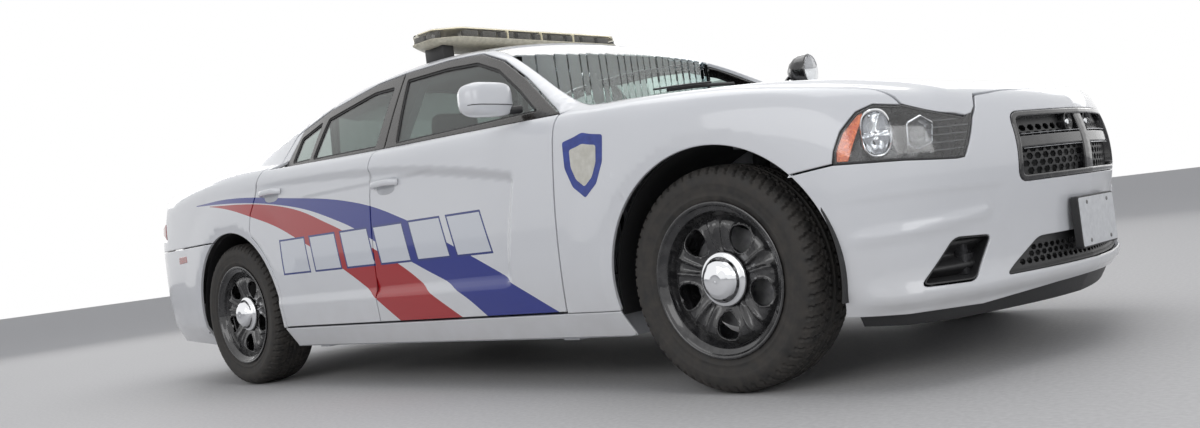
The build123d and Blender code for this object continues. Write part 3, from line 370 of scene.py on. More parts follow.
def side_rays(uv):
    """Rays out of a line inside the car's left side, for fenders, quarters and sills."""
    x, angle = uv[:, 0], uv[:, 1] / SWEEP
    start = np.stack([x, np.full_like(x, SIDE_LINE), np.full_like(x, SIDE_LINE)], 1)
    return start, np.stack([np.zeros_like(x), np.cos(angle), np.sin(angle)], 1)


def side_map(p):
    return np.stack([p[:, 0], np.arctan2(p[:, 2] - SIDE_LINE, p[:, 1] - SIDE_LINE) * SWEEP], 1)


def flat_rays(uv):
    """Rays straight out of the left side, for doors."""
    start = np.stack([uv[:, 0], np.full(len(uv), 200.0), uv[:, 1]], 1)
    return start, np.tile([0.0, 1.0, 0.0], (len(uv), 1))


def top_rays(uv):
    """Rays straight up, for hood, deck and roof."""
    start = np.stack([uv[:, 0], uv[:, 1], np.full(len(uv), 400.0)], 1)
    return start, np.tile([0.0, 0.0, 1.0], (len(uv), 1))


def end_rays(pivot, sign):
    """Rays out of a point inside the nose or tail, and the map that goes with them."""
    pivot, size = np.array(pivot, float), 900.0

    def rays(uv):
        turn, rise = uv[:, 0] / size, uv[:, 1] / size
        start = np.tile(pivot, (len(uv), 1))
        return start, np.stack([sign * np.cos(rise) * np.cos(turn), np.cos(rise) * np.sin(turn),
                                np.sin(rise)], 1)

    def flat(p):
        away = p - pivot
        turn = np.arctan2(away[:, 1], sign * away[:, 0])
        rise = np.arctan2(away[:, 2], np.hypot(away[:, 0], away[:, 1]))
        return np.stack([turn, rise], 1) * size
    return rays, flat


nose_rays, nose_map = end_rays((1500, 0, 480), 1)
tail_rays, tail_map = end_rays((-1500, 0, 480), -1)
lid_rays, lid_map = end_rays((-1000, 0, 200), -1)


def ahead_rays(uv):
    """Rays straight forward, for what is drawn on the nose."""
    start = np.stack([np.full(len(uv), 1000.0), uv[:, 0], uv[:, 1]], 1)
    return start, np.tile([1.0, 0.0, 0.0], (len(uv), 1))


def astern_rays(uv):
    start = np.stack([np.full(len(uv), -1000.0), uv[:, 0], uv[:, 1]], 1)
    return start, np.tile([-1.0, 0.0, 0.0], (len(uv), 1))


ROOF_SWEEP, ROOF_LINE_Z = 600, 700


def roof_rays(uv):
    """Rays out of a line under the roof, for roof and pillars on both sides."""
    angle = uv[:, 1] / ROOF_SWEEP
    start = np.stack([uv[:, 0], np.zeros(len(uv)), np.full(len(uv), float(ROOF_LINE_Z))], 1)
    return start, np.stack([np.zeros(len(uv)), np.sin(angle), np.cos(angle)], 1)


def roof_map(p):
    return np.stack([p[:, 0], np.arctan2(p[:, 1], p[:, 2] - ROOF_LINE_Z) * ROOF_SWEEP], 1)


def along(points, spacing, closed=True):
    """Points every so often along a line of straight runs, keeping its corners."""
    points = [np.asarray(p, float) for p in points]
    runs = list(zip(points, points[1:] + points[:1])) if closed else list(zip(points[:-1], points[1:]))
    found = []
    for a, b in runs:
        count = max(1, int(round(np.linalg.norm(b - a) / spacing)))
        found += [a + (b - a) * i / count for i in range(count)]
    if not closed:
        found.append(points[-1])
    return np.array(found)


def rounded(points, radii, pieces=6):
    """A closed outline with its corners rounded, each by its own radius or one for all."""
    points = [np.asarray(p, float) for p in points]
    radii = [radii] * len(points) if isinstance(radii, (int, float)) else radii
    found = []
    for i, (corner, radius) in enumerate(zip(points, radii)):
        before, after = points[i - 1] - corner, points[(i + 1) % len(points)] - corner
        cut = min(radius, np.linalg.norm(before) * 0.45, np.linalg.norm(after) * 0.45)
        if cut < 0.5:
            found.append(corner)
            continue
        a = corner + before / np.linalg.norm(before) * cut
        b = corner + after / np.linalg.norm(after) * cut
        for k in range(pieces + 1):
            t = k / pieces
            found.append(a * (1 - t) ** 2 + corner * 2 * t * (1 - t) + b * t * t)
    return found


def drawn(points, rays, level=form_level):
    """An outline drawn flat in a map, carried out to the form."""
    return reach(*rays(np.asarray(points, float)), level)


def inward(loop, amount):
    """A closed flat loop moved in by an amount, to the left of its running direction."""
    ahead_of = np.roll(loop, -1, 0) - loop
    behind = loop - np.roll(loop, 1, 0)
    normals = []
    for run in (behind, ahead_of):
        run = run / np.maximum(np.linalg.norm(run, axis=1, keepdims=True), 1e-9)
        normals.append(np.stack([-run[:, 1], run[:, 0]], 1))
    middle = normals[0] + normals[1]
    middle /= np.maximum(np.linalg.norm(middle, axis=1, keepdims=True), 1e-9)
    share = np.clip(np.sum(middle * normals[0], 1), 0.5, 1)
    return loop + middle * (amount / share)[:, None]


def inside_of(points, loop):
    """Which points lie inside a closed loop."""
    found = np.zeros(len(points), bool)
    a, b = loop, np.roll(loop, -1, 0)
    for (x0, y0), (x1, y1) in zip(a, b):
        if y0 == y1:
            continue
        crosses = (points[:, 1] < y0) != (points[:, 1] < y1)
        at = x0 + (points[:, 1] - y0) * (x1 - x0) / (y1 - y0)
        found ^= crosses & (points[:, 0] < at)
    return found


def far_from(points, loop, distance):
    """Which points are at least a distance from a loop's runs."""
    keep = np.ones(len(points), bool)
    a, b = loop, np.roll(loop, -1, 0)
    for p0, p1 in zip(a, b):
        run = p1 - p0
        t = np.clip(((points - p0) @ run) / max(run @ run, 1e-9), 0, 1)
        keep &= np.hypot(*(points - p0 - t[:, None] * run).T) > distance
    return keep


def turned_left(loop):
    """The loop, run anticlockwise."""
    x, y = loop[:, 0], loop[:, 1]
    return loop if np.sum(x * np.roll(y, -1) - y * np.roll(x, -1)) > 0 else loop[::-1]


def outward(p, level=form_level):
    """The form's outward direction at points on it."""
    step = 1.0
    slopes = np.stack([level(p + step * axis) - level(p - step * axis) for axis in np.eye(3)], 1)
    return slopes / np.linalg.norm(slopes, axis=1, keepdims=True)


def piece(name, verts, faces, finish, body, normals=None, sharp=35.0, mirror=False):
    """A mesh object from points in millimetres, riding on its body, with its finish."""
    verts = np.asarray(verts, float) / 1000
    if mirror:
        verts = verts * (1, -1, 1)
        faces = [tuple(f)[::-1] for f in faces]
    mesh = bpy.data.meshes.new(name)
    mesh.from_pydata(verts.tolist(), [], [tuple(int(i) for i in f) for f in faces])
    mesh.materials.append(finish)
    mesh.polygons.foreach_set("use_smooth", [True] * len(mesh.polygons))
    if normals is not None:
        if mirror:
            normals = normals * (1, -1, 1)
        mesh.normals_split_custom_set_from_vertices(normals.tolist())
    elif sharp:
        mesh.set_sharp_from_angle(angle=math.radians(sharp))
    made = bpy.data.objects.new(name, mesh)
    bpy.context.scene.collection.objects.link(made)
    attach(made, body)
    return made


def pressed_sheet(outline, holes, rays, level=form_level, spacing=16.0, wall=14.0, proud=0.0, roll=3.0):
    """A panel's mesh: outer skin on the form, rolled edges, flanges and an inner skin.

    The outline and the holes are closed lines in the flat map of the rays. Returns points, faces
    and the direction each point's surface looks in.
    """
    loops = [turned_left(np.asarray(outline, float))]
    loops += [turned_left(np.asarray(hole, float))[::-1] for hole in holes]
    inner = [inward(loop, roll) for loop in loops]
    low, high = loops[0].min(0), loops[0].max(0)
    xs = np.arange(low[0] + spacing / 2, high[0], spacing)
    ys = np.arange(low[1] + spacing / 2, high[1], spacing * 0.87)
    gx, gy = np.meshgrid(xs, ys)
    gx = gx + spacing / 2 * (np.arange(len(ys)) % 2)[:, None]
    grid = np.stack([gx.ravel(), gy.ravel()], 1)
    grid = grid[inside_of(grid, inner[0]) & far_from(grid, inner[0], spacing * 0.5)]
    for loop in inner[1:]:
        grid = grid[~inside_of(grid, loop) & far_from(grid, loop, spacing * 0.5)]
    flat = np.concatenate(inner + [grid])
    runs, start = [], 0
    for loop in inner:
        runs += [(start + i, start + (i + 1) % len(loop)) for i in range(len(loop))]
        start += len(loop)
    _, _, tris, given, _, _ = geometry.delaunay_2d_cdt([Vector(p) for p in flat], runs, [], 0, 1e-5)
    first = [g[0] if g else -1 for g in given]
    tris = np.array([[first[i] for i in t] for t in tris if all(first[i] >= 0 for i in t)])
    middles = flat[tris].mean(1)
    keep = inside_of(middles, inner[0])
    for loop in inner[1:]:
        keep &= ~inside_of(middles, loop)
    tris = tris[keep]
    a, b, c = flat[tris[:, 0]], flat[tris[:, 1]], flat[tris[:, 2]]
    turned = (b - a)[:, 0] * (c - a)[:, 1] - (b - a)[:, 1] * (c - a)[:, 0] < 0
    tris[turned] = tris[turned][:, ::-1]
    skin = reach(*rays(flat), level)
    looks = outward(skin, level)
    skin = skin + looks * proud
    p, q, r = skin[tris[:, 0]], skin[tris[:, 1]], skin[tris[:, 2]]
    facing = np.sum(np.cross(q - p, r - p) * looks[tris[:, 0]], 1)
    if np.median(facing) < 0:
        tris = tris[:, ::-1]
    count = len(flat)
    points, dirs, faces = [skin, skin - looks * wall], [looks, -looks], [tris, tris[:, ::-1] + count]
    total, start = 2 * count, 0
    for loop, edge in zip(loops, inner):
        n = len(loop)
        rim = reach(*rays(loop), level)
        rim_looks = outward(rim, level)
        rim = rim + rim_looks * proud
        side = rim - skin[start:start + n]
        side = side - rim_looks * np.sum(side * rim_looks, 1)[:, None]
        side /= np.maximum(np.linalg.norm(side, axis=1, keepdims=True), 1e-9)
        rows = [rim - side * 0.3 * roll - rim_looks * 0.23 * roll, rim - rim_looks * roll,
                rim - rim_looks * wall]
        slants = [side * 0.7 + rim_looks * 0.7, side, side]
        points += rows
        dirs += slants
        ids = [np.arange(start, start + n)] + [total + k * n + np.arange(n) for k in range(3)]
        ids.append(count + np.arange(start, start + n))
        for upper_row, lower_row in zip(ids[:-1], ids[1:]):
            quads = np.stack([upper_row, np.roll(upper_row, -1), np.roll(lower_row, -1), lower_row], 1)
            faces.append(quads)
        total += 3 * n
        start += n
    points, dirs = np.concatenate(points), np.concatenate(dirs)
    a, b, c = (points[faces[2][0][i]] for i in range(3))
    if np.dot(np.cross(b - a, c - a), dirs[faces[2][0][1]]) < 0:
        faces = faces[:2] + [quads[:, ::-1] for quads in faces[2:]]
    return points, [tuple(f) for block in faces for f in block], dirs


def skins(name, nodes_replaced, outline, holes, rays, finish, bodies=("root", "root"), slot="body_paint",
          **how):
    """A left panel and its mirrored right one, standing for their nodes."""
    points, faces, dirs = pressed_sheet(outline, holes, rays, **how)
    for side, body, replaced, mirror in zip(("left", "right"), bodies, nodes_replaced, (False, True)):
        sheet = piece(f"{name}_{side}", points, faces, finish, body, dirs, mirror=mirror)
        if replaced:
            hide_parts(*replaced)


def arc(centre_x, centre_z, radius, start, end, spacing=10.0):
    """Points of an arc in a side view, from one angle to another in degrees."""
    count = max(2, int(abs(math.radians(end - start)) * radius / spacing))
    angles = np.radians(np.linspace(start, end, count + 1))
    return np.stack([centre_x + np.cos(angles) * radius, centre_z + np.sin(angles) * radius], 1)


def line(points, spacing=10.0):
    return along(points, spacing, closed=False)


def joined(*parts):
    """Runs of points one after another, without doubled ones."""
    whole = np.concatenate(parts)
    step = np.linalg.norm(whole - np.roll(whole, 1, 0), axis=1)
    return whole[step > 0.8]


# White enamel: clear coat over white, with a faint orange peel and road dust low down. The sides
# carry a blue stripe over a red one, which sweep down from the tail to the bottom of the doors.
def enamel(name):
    """White paint; returns the material, its tree, the object's coordinates and the dusty white."""
    made, shader, tree = material(name, (0.8, 0.81, 0.83), 0.32)
    shader.inputs["Coat Weight"].default_value = 0.8
    shader.inputs["Coat Roughness"].default_value = 0.05
    place = node(tree, "ShaderNodeTexCoord")
    peel = node(tree, "ShaderNodeTexNoise", in_Scale=320.0, in_Detail=2.0)
    tree.links.new(place.outputs["Object"], peel.inputs["Vector"])
    dents = node(tree, "ShaderNodeBump", in_Strength=0.03, in_Distance=0.0006)
    tree.links.new(peel.outputs["Fac"], dents.inputs["Height"])
    tree.links.new(dents.outputs["Normal"], shader.inputs["Normal"])
    axes = node(tree, "ShaderNodeSeparateXYZ")
    tree.links.new(place.outputs["Object"], axes.inputs[0])
    low = node(tree, "ShaderNodeMapRange", in_From_Min=0.5, in_From_Max=0.16, in_To_Min=0.0, in_To_Max=0.5)
    tree.links.new(axes.outputs["Z"], low.inputs["Value"])
    clouds = node(tree, "ShaderNodeTexNoise", in_Scale=9.0, in_Detail=6.0)
    tree.links.new(place.outputs["Object"], clouds.inputs["Vector"])
    dust = node(tree, "ShaderNodeMix", data_type="RGBA")
    tree.links.new(maths(tree, "MULTIPLY", low.outputs["Result"], clouds.outputs["Fac"]),
                   dust.inputs["Factor"])
    dust.inputs["A"].default_value = (0.8, 0.81, 0.83, 1)
    dust.inputs["B"].default_value = (0.5, 0.47, 0.43, 1)
    tree.links.new(dust.outputs["Result"], shader.inputs["Base Color"])
    return made, shader, tree, axes, dust


body_paint = enamel("white_enamel")[0]

livery, shader, tree, axes, dust = enamel("striped_enamel")
STRIPE_X0, STRIPE_X1, STRIPE_Z0, STRIPE_Z1 = -1800, 1100, 200, 1000
# Edges of the stripes along the car, x and z
BLUE_TOP = [(-1800, 956), (-1710, 954), (-1322, 949), (-838, 900), (-259, 818), (89, 713), (336, 601),
            (671, 441), (996, 271), (1100, 215)]
BLUE_LOW = [(-1800, 950), (-1711, 949), (-846, 867), (-356, 739), (-75, 614), (183, 499), (421, 389),
            (586, 274), (690, 200), (1100, 200)]
RED_TOP = [(-1800, 945), (-1543, 934), (-847, 861), (-436, 735), (-217, 640), (52, 513), (231, 397),
           (430, 279), (560, 200), (1100, 200)]
RED_LOW = [(-1800, 944), (-1544, 931), (-1049, 820), (-707, 689), (-329, 502), (0, 288), (130, 200),
           (1100, 200)]


def edge_height(points):
    """A stripe's edge: its z at each x, from a curve."""
    share = node(tree, "ShaderNodeMapRange", in_From_Min=STRIPE_X0 / 1000, in_From_Max=STRIPE_X1 / 1000)
    tree.links.new(axes.outputs["X"], share.inputs["Value"])
    edge = node(tree, "ShaderNodeFloatCurve")
    curve = edge.mapping.curves[0]
    points = [((x - STRIPE_X0) / (STRIPE_X1 - STRIPE_X0), (z - STRIPE_Z0) / (STRIPE_Z1 - STRIPE_Z0))
              for x, z in points]
    while len(curve.points) < len(points):
        curve.points.new(0.5, 0.5)
    for point, place in zip(curve.points, points):
        point.location = place
    edge.mapping.update()
    tree.links.new(share.outputs["Result"], edge.inputs["Value"])
    height = node(tree, "ShaderNodeMapRange", in_To_Min=STRIPE_Z0 / 1000, in_To_Max=STRIPE_Z1 / 1000)
    tree.links.new(edge.outputs["Value"], height.inputs["Value"])
    return height.outputs["Result"]


def between(low, high, start):
    """One where the height lies between two edges, behind a start near the tail."""
    over = maths(tree, "GREATER_THAN", axes.outputs["Z"], low)
    under = maths(tree, "LESS_THAN", axes.outputs["Z"], high)
    begun = maths(tree, "GREATER_THAN", axes.outputs["X"], start)
    return maths(tree, "MULTIPLY", maths(tree, "MULTIPLY", over, under), begun)


def laid_over(below, share, colour):
    """A colour over another where the share is one."""
    mix = node(tree, "ShaderNodeMix", data_type="RGBA")
    tree.links.new(below, mix.inputs["A"])
    tree.links.new(share, mix.inputs["Factor"])
    if isinstance(colour, tuple):
        mix.inputs["B"].default_value = (*colour, 1)
    else:
        tree.links.new(colour, mix.inputs["B"])
    return mix.outputs["Result"]


def foil(dark, light):
    """Reflective foil: its colour with fine lighter specks."""
    specks = node(tree, "ShaderNodeTexNoise", in_Scale=900.0, in_Detail=1.0)
    tree.links.new(place_of_paint.outputs["Object"], specks.inputs["Vector"])
    mix = node(tree, "ShaderNodeMix", data_type="RGBA")
    tree.links.new(specks.outputs["Fac"], mix.inputs["Factor"])
    mix.inputs["A"].default_value, mix.inputs["B"].default_value = (*dark, 1), (*light, 1)
    return mix.outputs["Result"]


place_of_paint = node(tree, "ShaderNodeTexCoord")
painted = laid_over(dust.outputs["Result"], between(edge_height(BLUE_LOW), edge_height(BLUE_TOP), -1.71),
                    foil((0.002, 0.012, 0.2), (0.005, 0.026, 0.32)))
painted = laid_over(painted, between(edge_height(RED_LOW), edge_height(RED_TOP), -1.543),
                    foil((0.36, 0.002, 0.006), (0.52, 0.005, 0.012)))

# A row of six blank slanted plates along the side. Its corners are (x, z).
PLATES = [(-895, 704), (603, 697), (652, 525), (-879, 535)]
(x0, z0), (x1, z1), (x2, z2), (x3, z3) = PLATES


def straight(axis, a, b):
    """A line's value on the other axis, from two points given as (this axis, value)."""
    slope = (b[1] - a[1]) / (b[0] - a[0])
    return maths(tree, "ADD", maths(tree, "MULTIPLY", axis, slope), (a[1] - slope * a[0]) / 1000)


plate_top = straight(axes.outputs["X"], (x0, z0), (x1, z1))
plate_low = straight(axes.outputs["X"], (x3, z3), (x2, z2))
plate_rear = straight(axes.outputs["Z"], (z0, x0), (z3, x3))
plate_front = straight(axes.outputs["Z"], (z1, x1), (z2, x2))
PLATE_COUNT, PLATE_GAP, PLATE_EDGE = 6, 0.036, 0.0085
along_row = maths(tree, "DIVIDE", maths(tree, "SUBTRACT", axes.outputs["X"], plate_rear),
                  maths(tree, "SUBTRACT", plate_front, plate_rear))
in_plate = maths(tree, "FRACT", maths(tree, "MULTIPLY", along_row, float(PLATE_COUNT)))
off_middle = maths(tree, "ABSOLUTE", maths(tree, "SUBTRACT", in_plate, 0.5))
to_side = maths(tree, "MULTIPLY", maths(tree, "SUBTRACT", 0.5, off_middle), 1.51 / PLATE_COUNT)
to_side = maths(tree, "SUBTRACT", to_side, PLATE_GAP / 2)
to_edge = maths(tree, "MINIMUM", maths(tree, "SUBTRACT", plate_top, axes.outputs["Z"]),
                maths(tree, "SUBTRACT", axes.outputs["Z"], plate_low))
to_edge = maths(tree, "MINIMUM", to_edge, to_side)
in_row = maths(tree, "MULTIPLY", maths(tree, "GREATER_THAN", along_row, 0.0),
               maths(tree, "LESS_THAN", along_row, 1.0))
painted = laid_over(painted, maths(tree, "MULTIPLY", maths(tree, "GREATER_THAN", to_edge, 0.0), in_row),
                    (0.012, 0.03, 0.2))
painted = laid_over(painted, maths(tree, "MULTIPLY", maths(tree, "GREATER_THAN", to_edge, PLATE_EDGE),
                                   in_row),
                    foil((0.66, 0.69, 0.74), (0.8, 0.82, 0.86)))
tree.links.new(painted, shader.inputs["Base Color"])

def on_side(points, rays=flat_rays):
    """Points drawn on the left side, in its flat map."""
    return side_map(drawn(points, rays))


front_edge = [(1000, 283), (1018, 560), (1034, 780), (1046, 950), (1050, 985)]
hood_side = [(1120, 846), (1196, 826), (1450, 817), (1700, 809), (1930, 797), (2150, 785), (2269, 741)]
SEAM_GAP = 3.0
fender_seam = [(2115, 667), (1985, 651 + SEAM_GAP)]
seam_angle = math.degrees(math.atan2(651 + SEAM_GAP - FRONT_ARCH[1], 1985 - FRONT_ARCH[0]))
low_angle = math.degrees(math.asin((283 - FRONT_ARCH[1]) / FRONT_ARCH[2]))
fender_line = joined(
    on_side(line(front_edge)),
    on_side(line(hood_side), top_rays),
    on_side(line([(2266, 812), (2215, 823), (2178, 806), (2142, 756), (2121, 700)] + fender_seam)),
    on_side(arc(*FRONT_ARCH, seam_angle, 180 - low_angle)),
    on_side(line([(1250, 283), (1006, 283)])))
skins("fender", [("front_fenders",), None], fender_line, [], side_rays, body_paint)

belt = curve_through(np.array([(-1100, 1053), (-150, 1024), (400, 1007), (1080, 986)], float))
split_low = [(-147, 289), (-143, 480), (-121, 830), (-95, 960), (-82, 1020)]
door_line = joined(
    line([(994, 289), (1012, 560), (1028, 780), (1040, 950), (1042, float(belt(1042)[0]))]),
    line([(x, float(belt(x)[0])) for x in np.linspace(1042, -81, 30)]),
    line(split_low[::-1]), line([(-147, 289), (986, 289)]))
skins("front_door_skin", [("front_door_left",), ("front_door_right",)], door_line, [], flat_rays, livery,
      ("front_door_left", "front_door_right"))
arch_edge = 457
low_angle = math.degrees(math.asin((289 - REAR_ARCH[1]) / arch_edge))
high_angle = math.degrees(math.asin((742 - REAR_ARCH[1]) / arch_edge))
rear_door_line = joined(
    line([(-153, 289), (-149, 480), (-127, 830), (-101, 960), (-88, 1020)]),
    line([(x, float(belt(x)[0])) for x in np.linspace(-88, -972, 26)]),
    line([(-937, 1088), (-931, 1228), (-972, 1211), (-998, 1095), (-1050, 988), (-1112, 850), (-1120, 770)]),
    arc(REAR_ARCH[0], REAR_ARCH[1], arch_edge, high_angle, low_angle),
    line([(-910, 289), (-160, 289)]))
skins("rear_door_skin", [("rear_door_left",), ("rear_door_right",)], rear_door_line, [], flat_rays, livery,
      ("rear_door_left", "rear_door_right"))

inner_arch = 451
low_angle = math.degrees(math.asin((283 - REAR_ARCH[1]) / inner_arch))
high_angle = math.degrees(math.asin((736 - REAR_ARCH[1]) / inner_arch))
arch_low = math.degrees(math.asin((283 - REAR_ARCH[1]) / REAR_ARCH[2]))
seam_z = 742
arch_seam = 180 - math.degrees(math.asin((seam_z - REAR_ARCH[1]) / REAR_ARCH[2]))
quarter_line = joined(
    on_side(arc(REAR_ARCH[0], REAR_ARCH[1], inner_arch, low_angle, high_angle)),
    on_side(line([(-1126, 770), (-1118, 850), (-1056, 988), (-1004, 1095), (-984, 1212)])),
    on_side(line([(-960, 1226), (-720, 1303)])),
    on_side(line([(-716, 594), (-1100, 640), (-1450, 678), (-1606, 690), (-1650, 693),
                  (-2180, 693)]), top_rays),
    on_side(line([(-2216, 905), (-2200, 800), (-2430, 800), (-2430, seam_z + SEAM_GAP)])),
    on_side(line([(-2420, seam_z + SEAM_GAP), (-1560, seam_z + SEAM_GAP)])),
    on_side(arc(*REAR_ARCH, arch_seam, arch_low)),
    on_side(line([(-948, 283), (-926, 283)])))
skins("quarter", [("rear_quarters",), None], quarter_line, [], side_rays, livery)


# Hood: one pressed panel between the fenders, which ends above the grille and follows the upper
# edges of the headlamps, with two soft ridges. Below it lie an inner panel and its ribs.
def tilted(lean, depth):
    """Rays along one leaning direction from a flat floor, and the map that goes with them."""
    direction = np.array([lean, 0.0, 1.0]) / math.hypot(lean, 1)

    def rays(uv):
        start = np.stack([uv[:, 0], uv[:, 1], np.full(len(uv), depth)], 1)
        return start, np.tile(direction, (len(uv), 1))

    def flat(p):
        return np.stack([p[:, 0] - lean * (p[:, 2] - depth), p[:, 1]], 1)
    return rays, flat


def both_halves(half):
    """A closed loop from its left half, which runs from the middle line back to it."""
    return joined(half, half[::-1] * (1, -1, 1)[:half.shape[1]])


RIDGE_HIGH, RIDGE_WIDE, DIP_DEEP = 9, 46, 6


def hood_level(p):
    """The body's form with the hood's ridges and the dips beside them."""
    x, y = p[..., 0], np.abs(p[..., 1])
    share = smooth_step((x - 1250) / 500) * smooth_step((2440 - x) / 260)
    ridge_y = 470 + 0.1 * (x - 1250)
    ridge = RIDGE_HIGH * np.exp(-((y - ridge_y) / RIDGE_WIDE) ** 2)
    ridge = ridge - DIP_DEEP * smooth_step((y - ridge_y) / 60) * smooth_step((800 - y) / 160)
    return body_level(p) - ridge * share


def sheet_piece(name, outline, holes, rays, finish, body="root", slot="body_paint", **how):
    """One pressed sheet as a piece."""
    points, faces, dirs = pressed_sheet(outline, holes, rays, **how)
    return piece(name, points, faces, finish, body, dirs)


hood_rays, hood_map = tilted(0.463, 400.0)
nose_edge = [(2414, 0), (2402, 220), (2380, 400), (2366, 470)]
lamp_inner = [(505, 786), (528, 767)]
lamp_top = [(2371, 761), (2338, 778), (2314, 791), (2271, 815)]


def offset_x(points, dx):
    return [(x + dx, y) for x, y in points]


hood_front = np.concatenate([drawn(line(offset_x(nose_edge, -3)), top_rays, body_level),
                             drawn(line(lamp_inner), ahead_rays, body_level),
                             drawn(line(lamp_top), flat_rays, body_level)])
hood_rear = drawn(line([(2254, 737), (2150, 779), (1930, 791), (1700, 803), (1450, 811), (1199, 819),
                        (1268, 597), (1306, 299), (1318, 0)]), top_rays, body_level)
hood_loop = hood_map(both_halves(np.concatenate([hood_front, hood_rear])))
hood_skin = sheet_piece("hood_skin", hood_loop, [], hood_rays, body_paint, "hood", level=hood_level,
                        spacing=24.0, wall=10.0)
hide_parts("hood")

inner_paint = two_toned("inner_panel_paint", (0.55, 0.56, 0.58), 0.5, 0.0, (14, 0.4, 0.62, 0.1),
                        (0.48, 0.49, 0.51), (0.6, 0.61, 0.63))


def hood_inner_level(p):
    """Below the hood's skin: a sheet that swells down in ribs around hollow fields."""
    x, y = p[..., 0], np.abs(p[..., 1])
    fields = np.cos((x - 1400) / 300 * math.pi) * np.cos(y / 230 * math.pi)
    return body_level(p) + 24 + 7 * smooth_step(0.5 + fields * 1.5)


inner_rear = line([(2110, 735), (1700, 768), (1290, 776), (1330, 570), (1356, 290), (1366, 0)])
inner_rear = drawn(inner_rear, top_rays, body_level)
inner_front = drawn(line([(2366, 0), (2350, 230), (2312, 415), (2270, 540), (2196, 668)]), top_rays,
                    body_level)
inner_loop = hood_map(both_halves(np.concatenate([inner_front, inner_rear])))
sheet_piece("hood_inner", inner_loop, [], hood_rays, inner_paint, "hood", level=hood_inner_level,
            spacing=34.0, wall=3.0)

# Front bumper: one moulded skin round the nose, painted as the body, open at the two grilles and
# the side recesses. Its seams follow the headlamps and run level from there to the arches.
GRILLE = [(-384, 761), (384, 761), (406, 547), (-406, 547)]
LOW_GRILLE = [(-313, 378), (313, 378), (483, 284), (-483, 284)]
RECESS = [(510, 407), (653, 415), (771, 290), (597, 285)]
bumper_low = math.degrees(math.asin((222 - FRONT_ARCH[1]) / FRONT_ARCH[2]))
seam_low_angle = math.degrees(math.atan2(651 - SEAM_GAP - FRONT_ARCH[1], 1985 - FRONT_ARCH[0]))


LEDGE_DEEP, LIP_HIGH, LIP_CUT, CREASE_HIGH = 11, 16, 10, 9


def nose_level(p):
    """The body's form with what is pressed into the bumper: a ledge, the lip and creases."""
    x, y, z = p[..., 0], np.abs(p[..., 1]), p[..., 2]
    ahead = smooth_step((x - 2080) / 160)
    ledge = LEDGE_DEEP * smooth_step((560 - z) / 24) * smooth_step((z - 428) / 60)
    ledge = ledge * smooth_step((y - 440) / 60)
    lip = LIP_HIGH * np.exp(-((z - 262) / 34) ** 2) - LIP_CUT * np.exp(-((z - 222) / 22) ** 2)
    crease_z = 468 - 0.1 * (y - 600)
    swoosh = CREASE_HIGH * np.exp(-((z - crease_z) / 20) ** 2)
    swoosh = swoosh * smooth_step((y - 490) / 60) * smooth_step((905 - y) / 40)
    return body_level(p) - (lip - ledge * 0.4 + swoosh) * ahead


half = np.concatenate([
    drawn(line(offset_x(nose_edge, 3)), top_rays),
    drawn(line([(499, 783), (529, 754), (608, 639)]), ahead_rays),
    drawn(line([(2369, 637), (2282, 649), (2116, 661), (1985, 651 - SEAM_GAP)]), flat_rays),
    drawn(arc(*FRONT_ARCH, seam_low_angle, bumper_low), flat_rays),
    drawn(line([(2096, 221), (2240, 213)]), flat_rays),
    drawn(line([(552, 207), (217, 226), (0, 230)]), ahead_rays)])
holes = [rounded(GRILLE, 42), rounded(LOW_GRILLE, 26), rounded(RECESS, 26),
         rounded([(-y, z) for y, z in RECESS], 26)]
holes = [nose_map(drawn(along(hole, 12), ahead_rays)) for hole in holes]
front_bumper = sheet_piece("front_bumper_skin", nose_map(both_halves(half)), holes, nose_rays, body_paint,
                           level=nose_level, spacing=15.0)
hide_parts("front_bumper")

# Rear bumper: one moulded skin round the tail, painted as the body, with an opening low down. Its
# seam runs level from arch to arch.
rear_low = 180 + math.degrees(math.asin((REAR_ARCH[1] - 205) / REAR_ARCH[2]))
arch_seam = 180 - math.degrees(math.asin((seam_z - SEAM_GAP - REAR_ARCH[1]) / REAR_ARCH[2]))
half = np.concatenate([
    drawn(line([(0, seam_z - SEAM_GAP), (700, seam_z - SEAM_GAP)]), astern_rays),
    drawn(line([(-2400, seam_z - SEAM_GAP), (-1560, seam_z - SEAM_GAP)]), flat_rays),
    drawn(arc(*REAR_ARCH, arch_seam, rear_low), flat_rays),
    drawn(line([(-1790, 205), (-2300, 225)]), flat_rays),
    drawn(line([(640, 215), (0, 210)]), astern_rays)])
REAR_LOW = [(-420, 420), (420, 420), (470, 330), (-470, 330)]
hole = tail_map(drawn(along(rounded(REAR_LOW, 24), 14), astern_rays))
rear_bumper = sheet_piece("rear_bumper_skin", tail_map(both_halves(half)), [hole], tail_rays, body_paint,
                          spacing=25.0)
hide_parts("rear_bumper")


# Trunk lid: pressed steel in body enamel, the deck and the panel above the bumper in one sheet,
# with a lip along its rear edge and an opening for a lamp on each side.
def lid_level(p):
    """The body's form with a raised lip along the deck's rear edge."""
    x, y, z = p[..., 0], np.abs(p[..., 1]), p[..., 2]
    lip = 20 * smooth_step((-2250 - x) / 150) * smooth_step((z - 960) / 60) * smooth_step((700 - y) / 30)
    hollow = 14 * smooth_step((330 - y) / 30)
    hollow = hollow * smooth_step((940 - z) / 24) * smooth_step((z - 770) / 24)
    return body_level(p) - lip + hollow * smooth_step((-2200 - x) / 60)


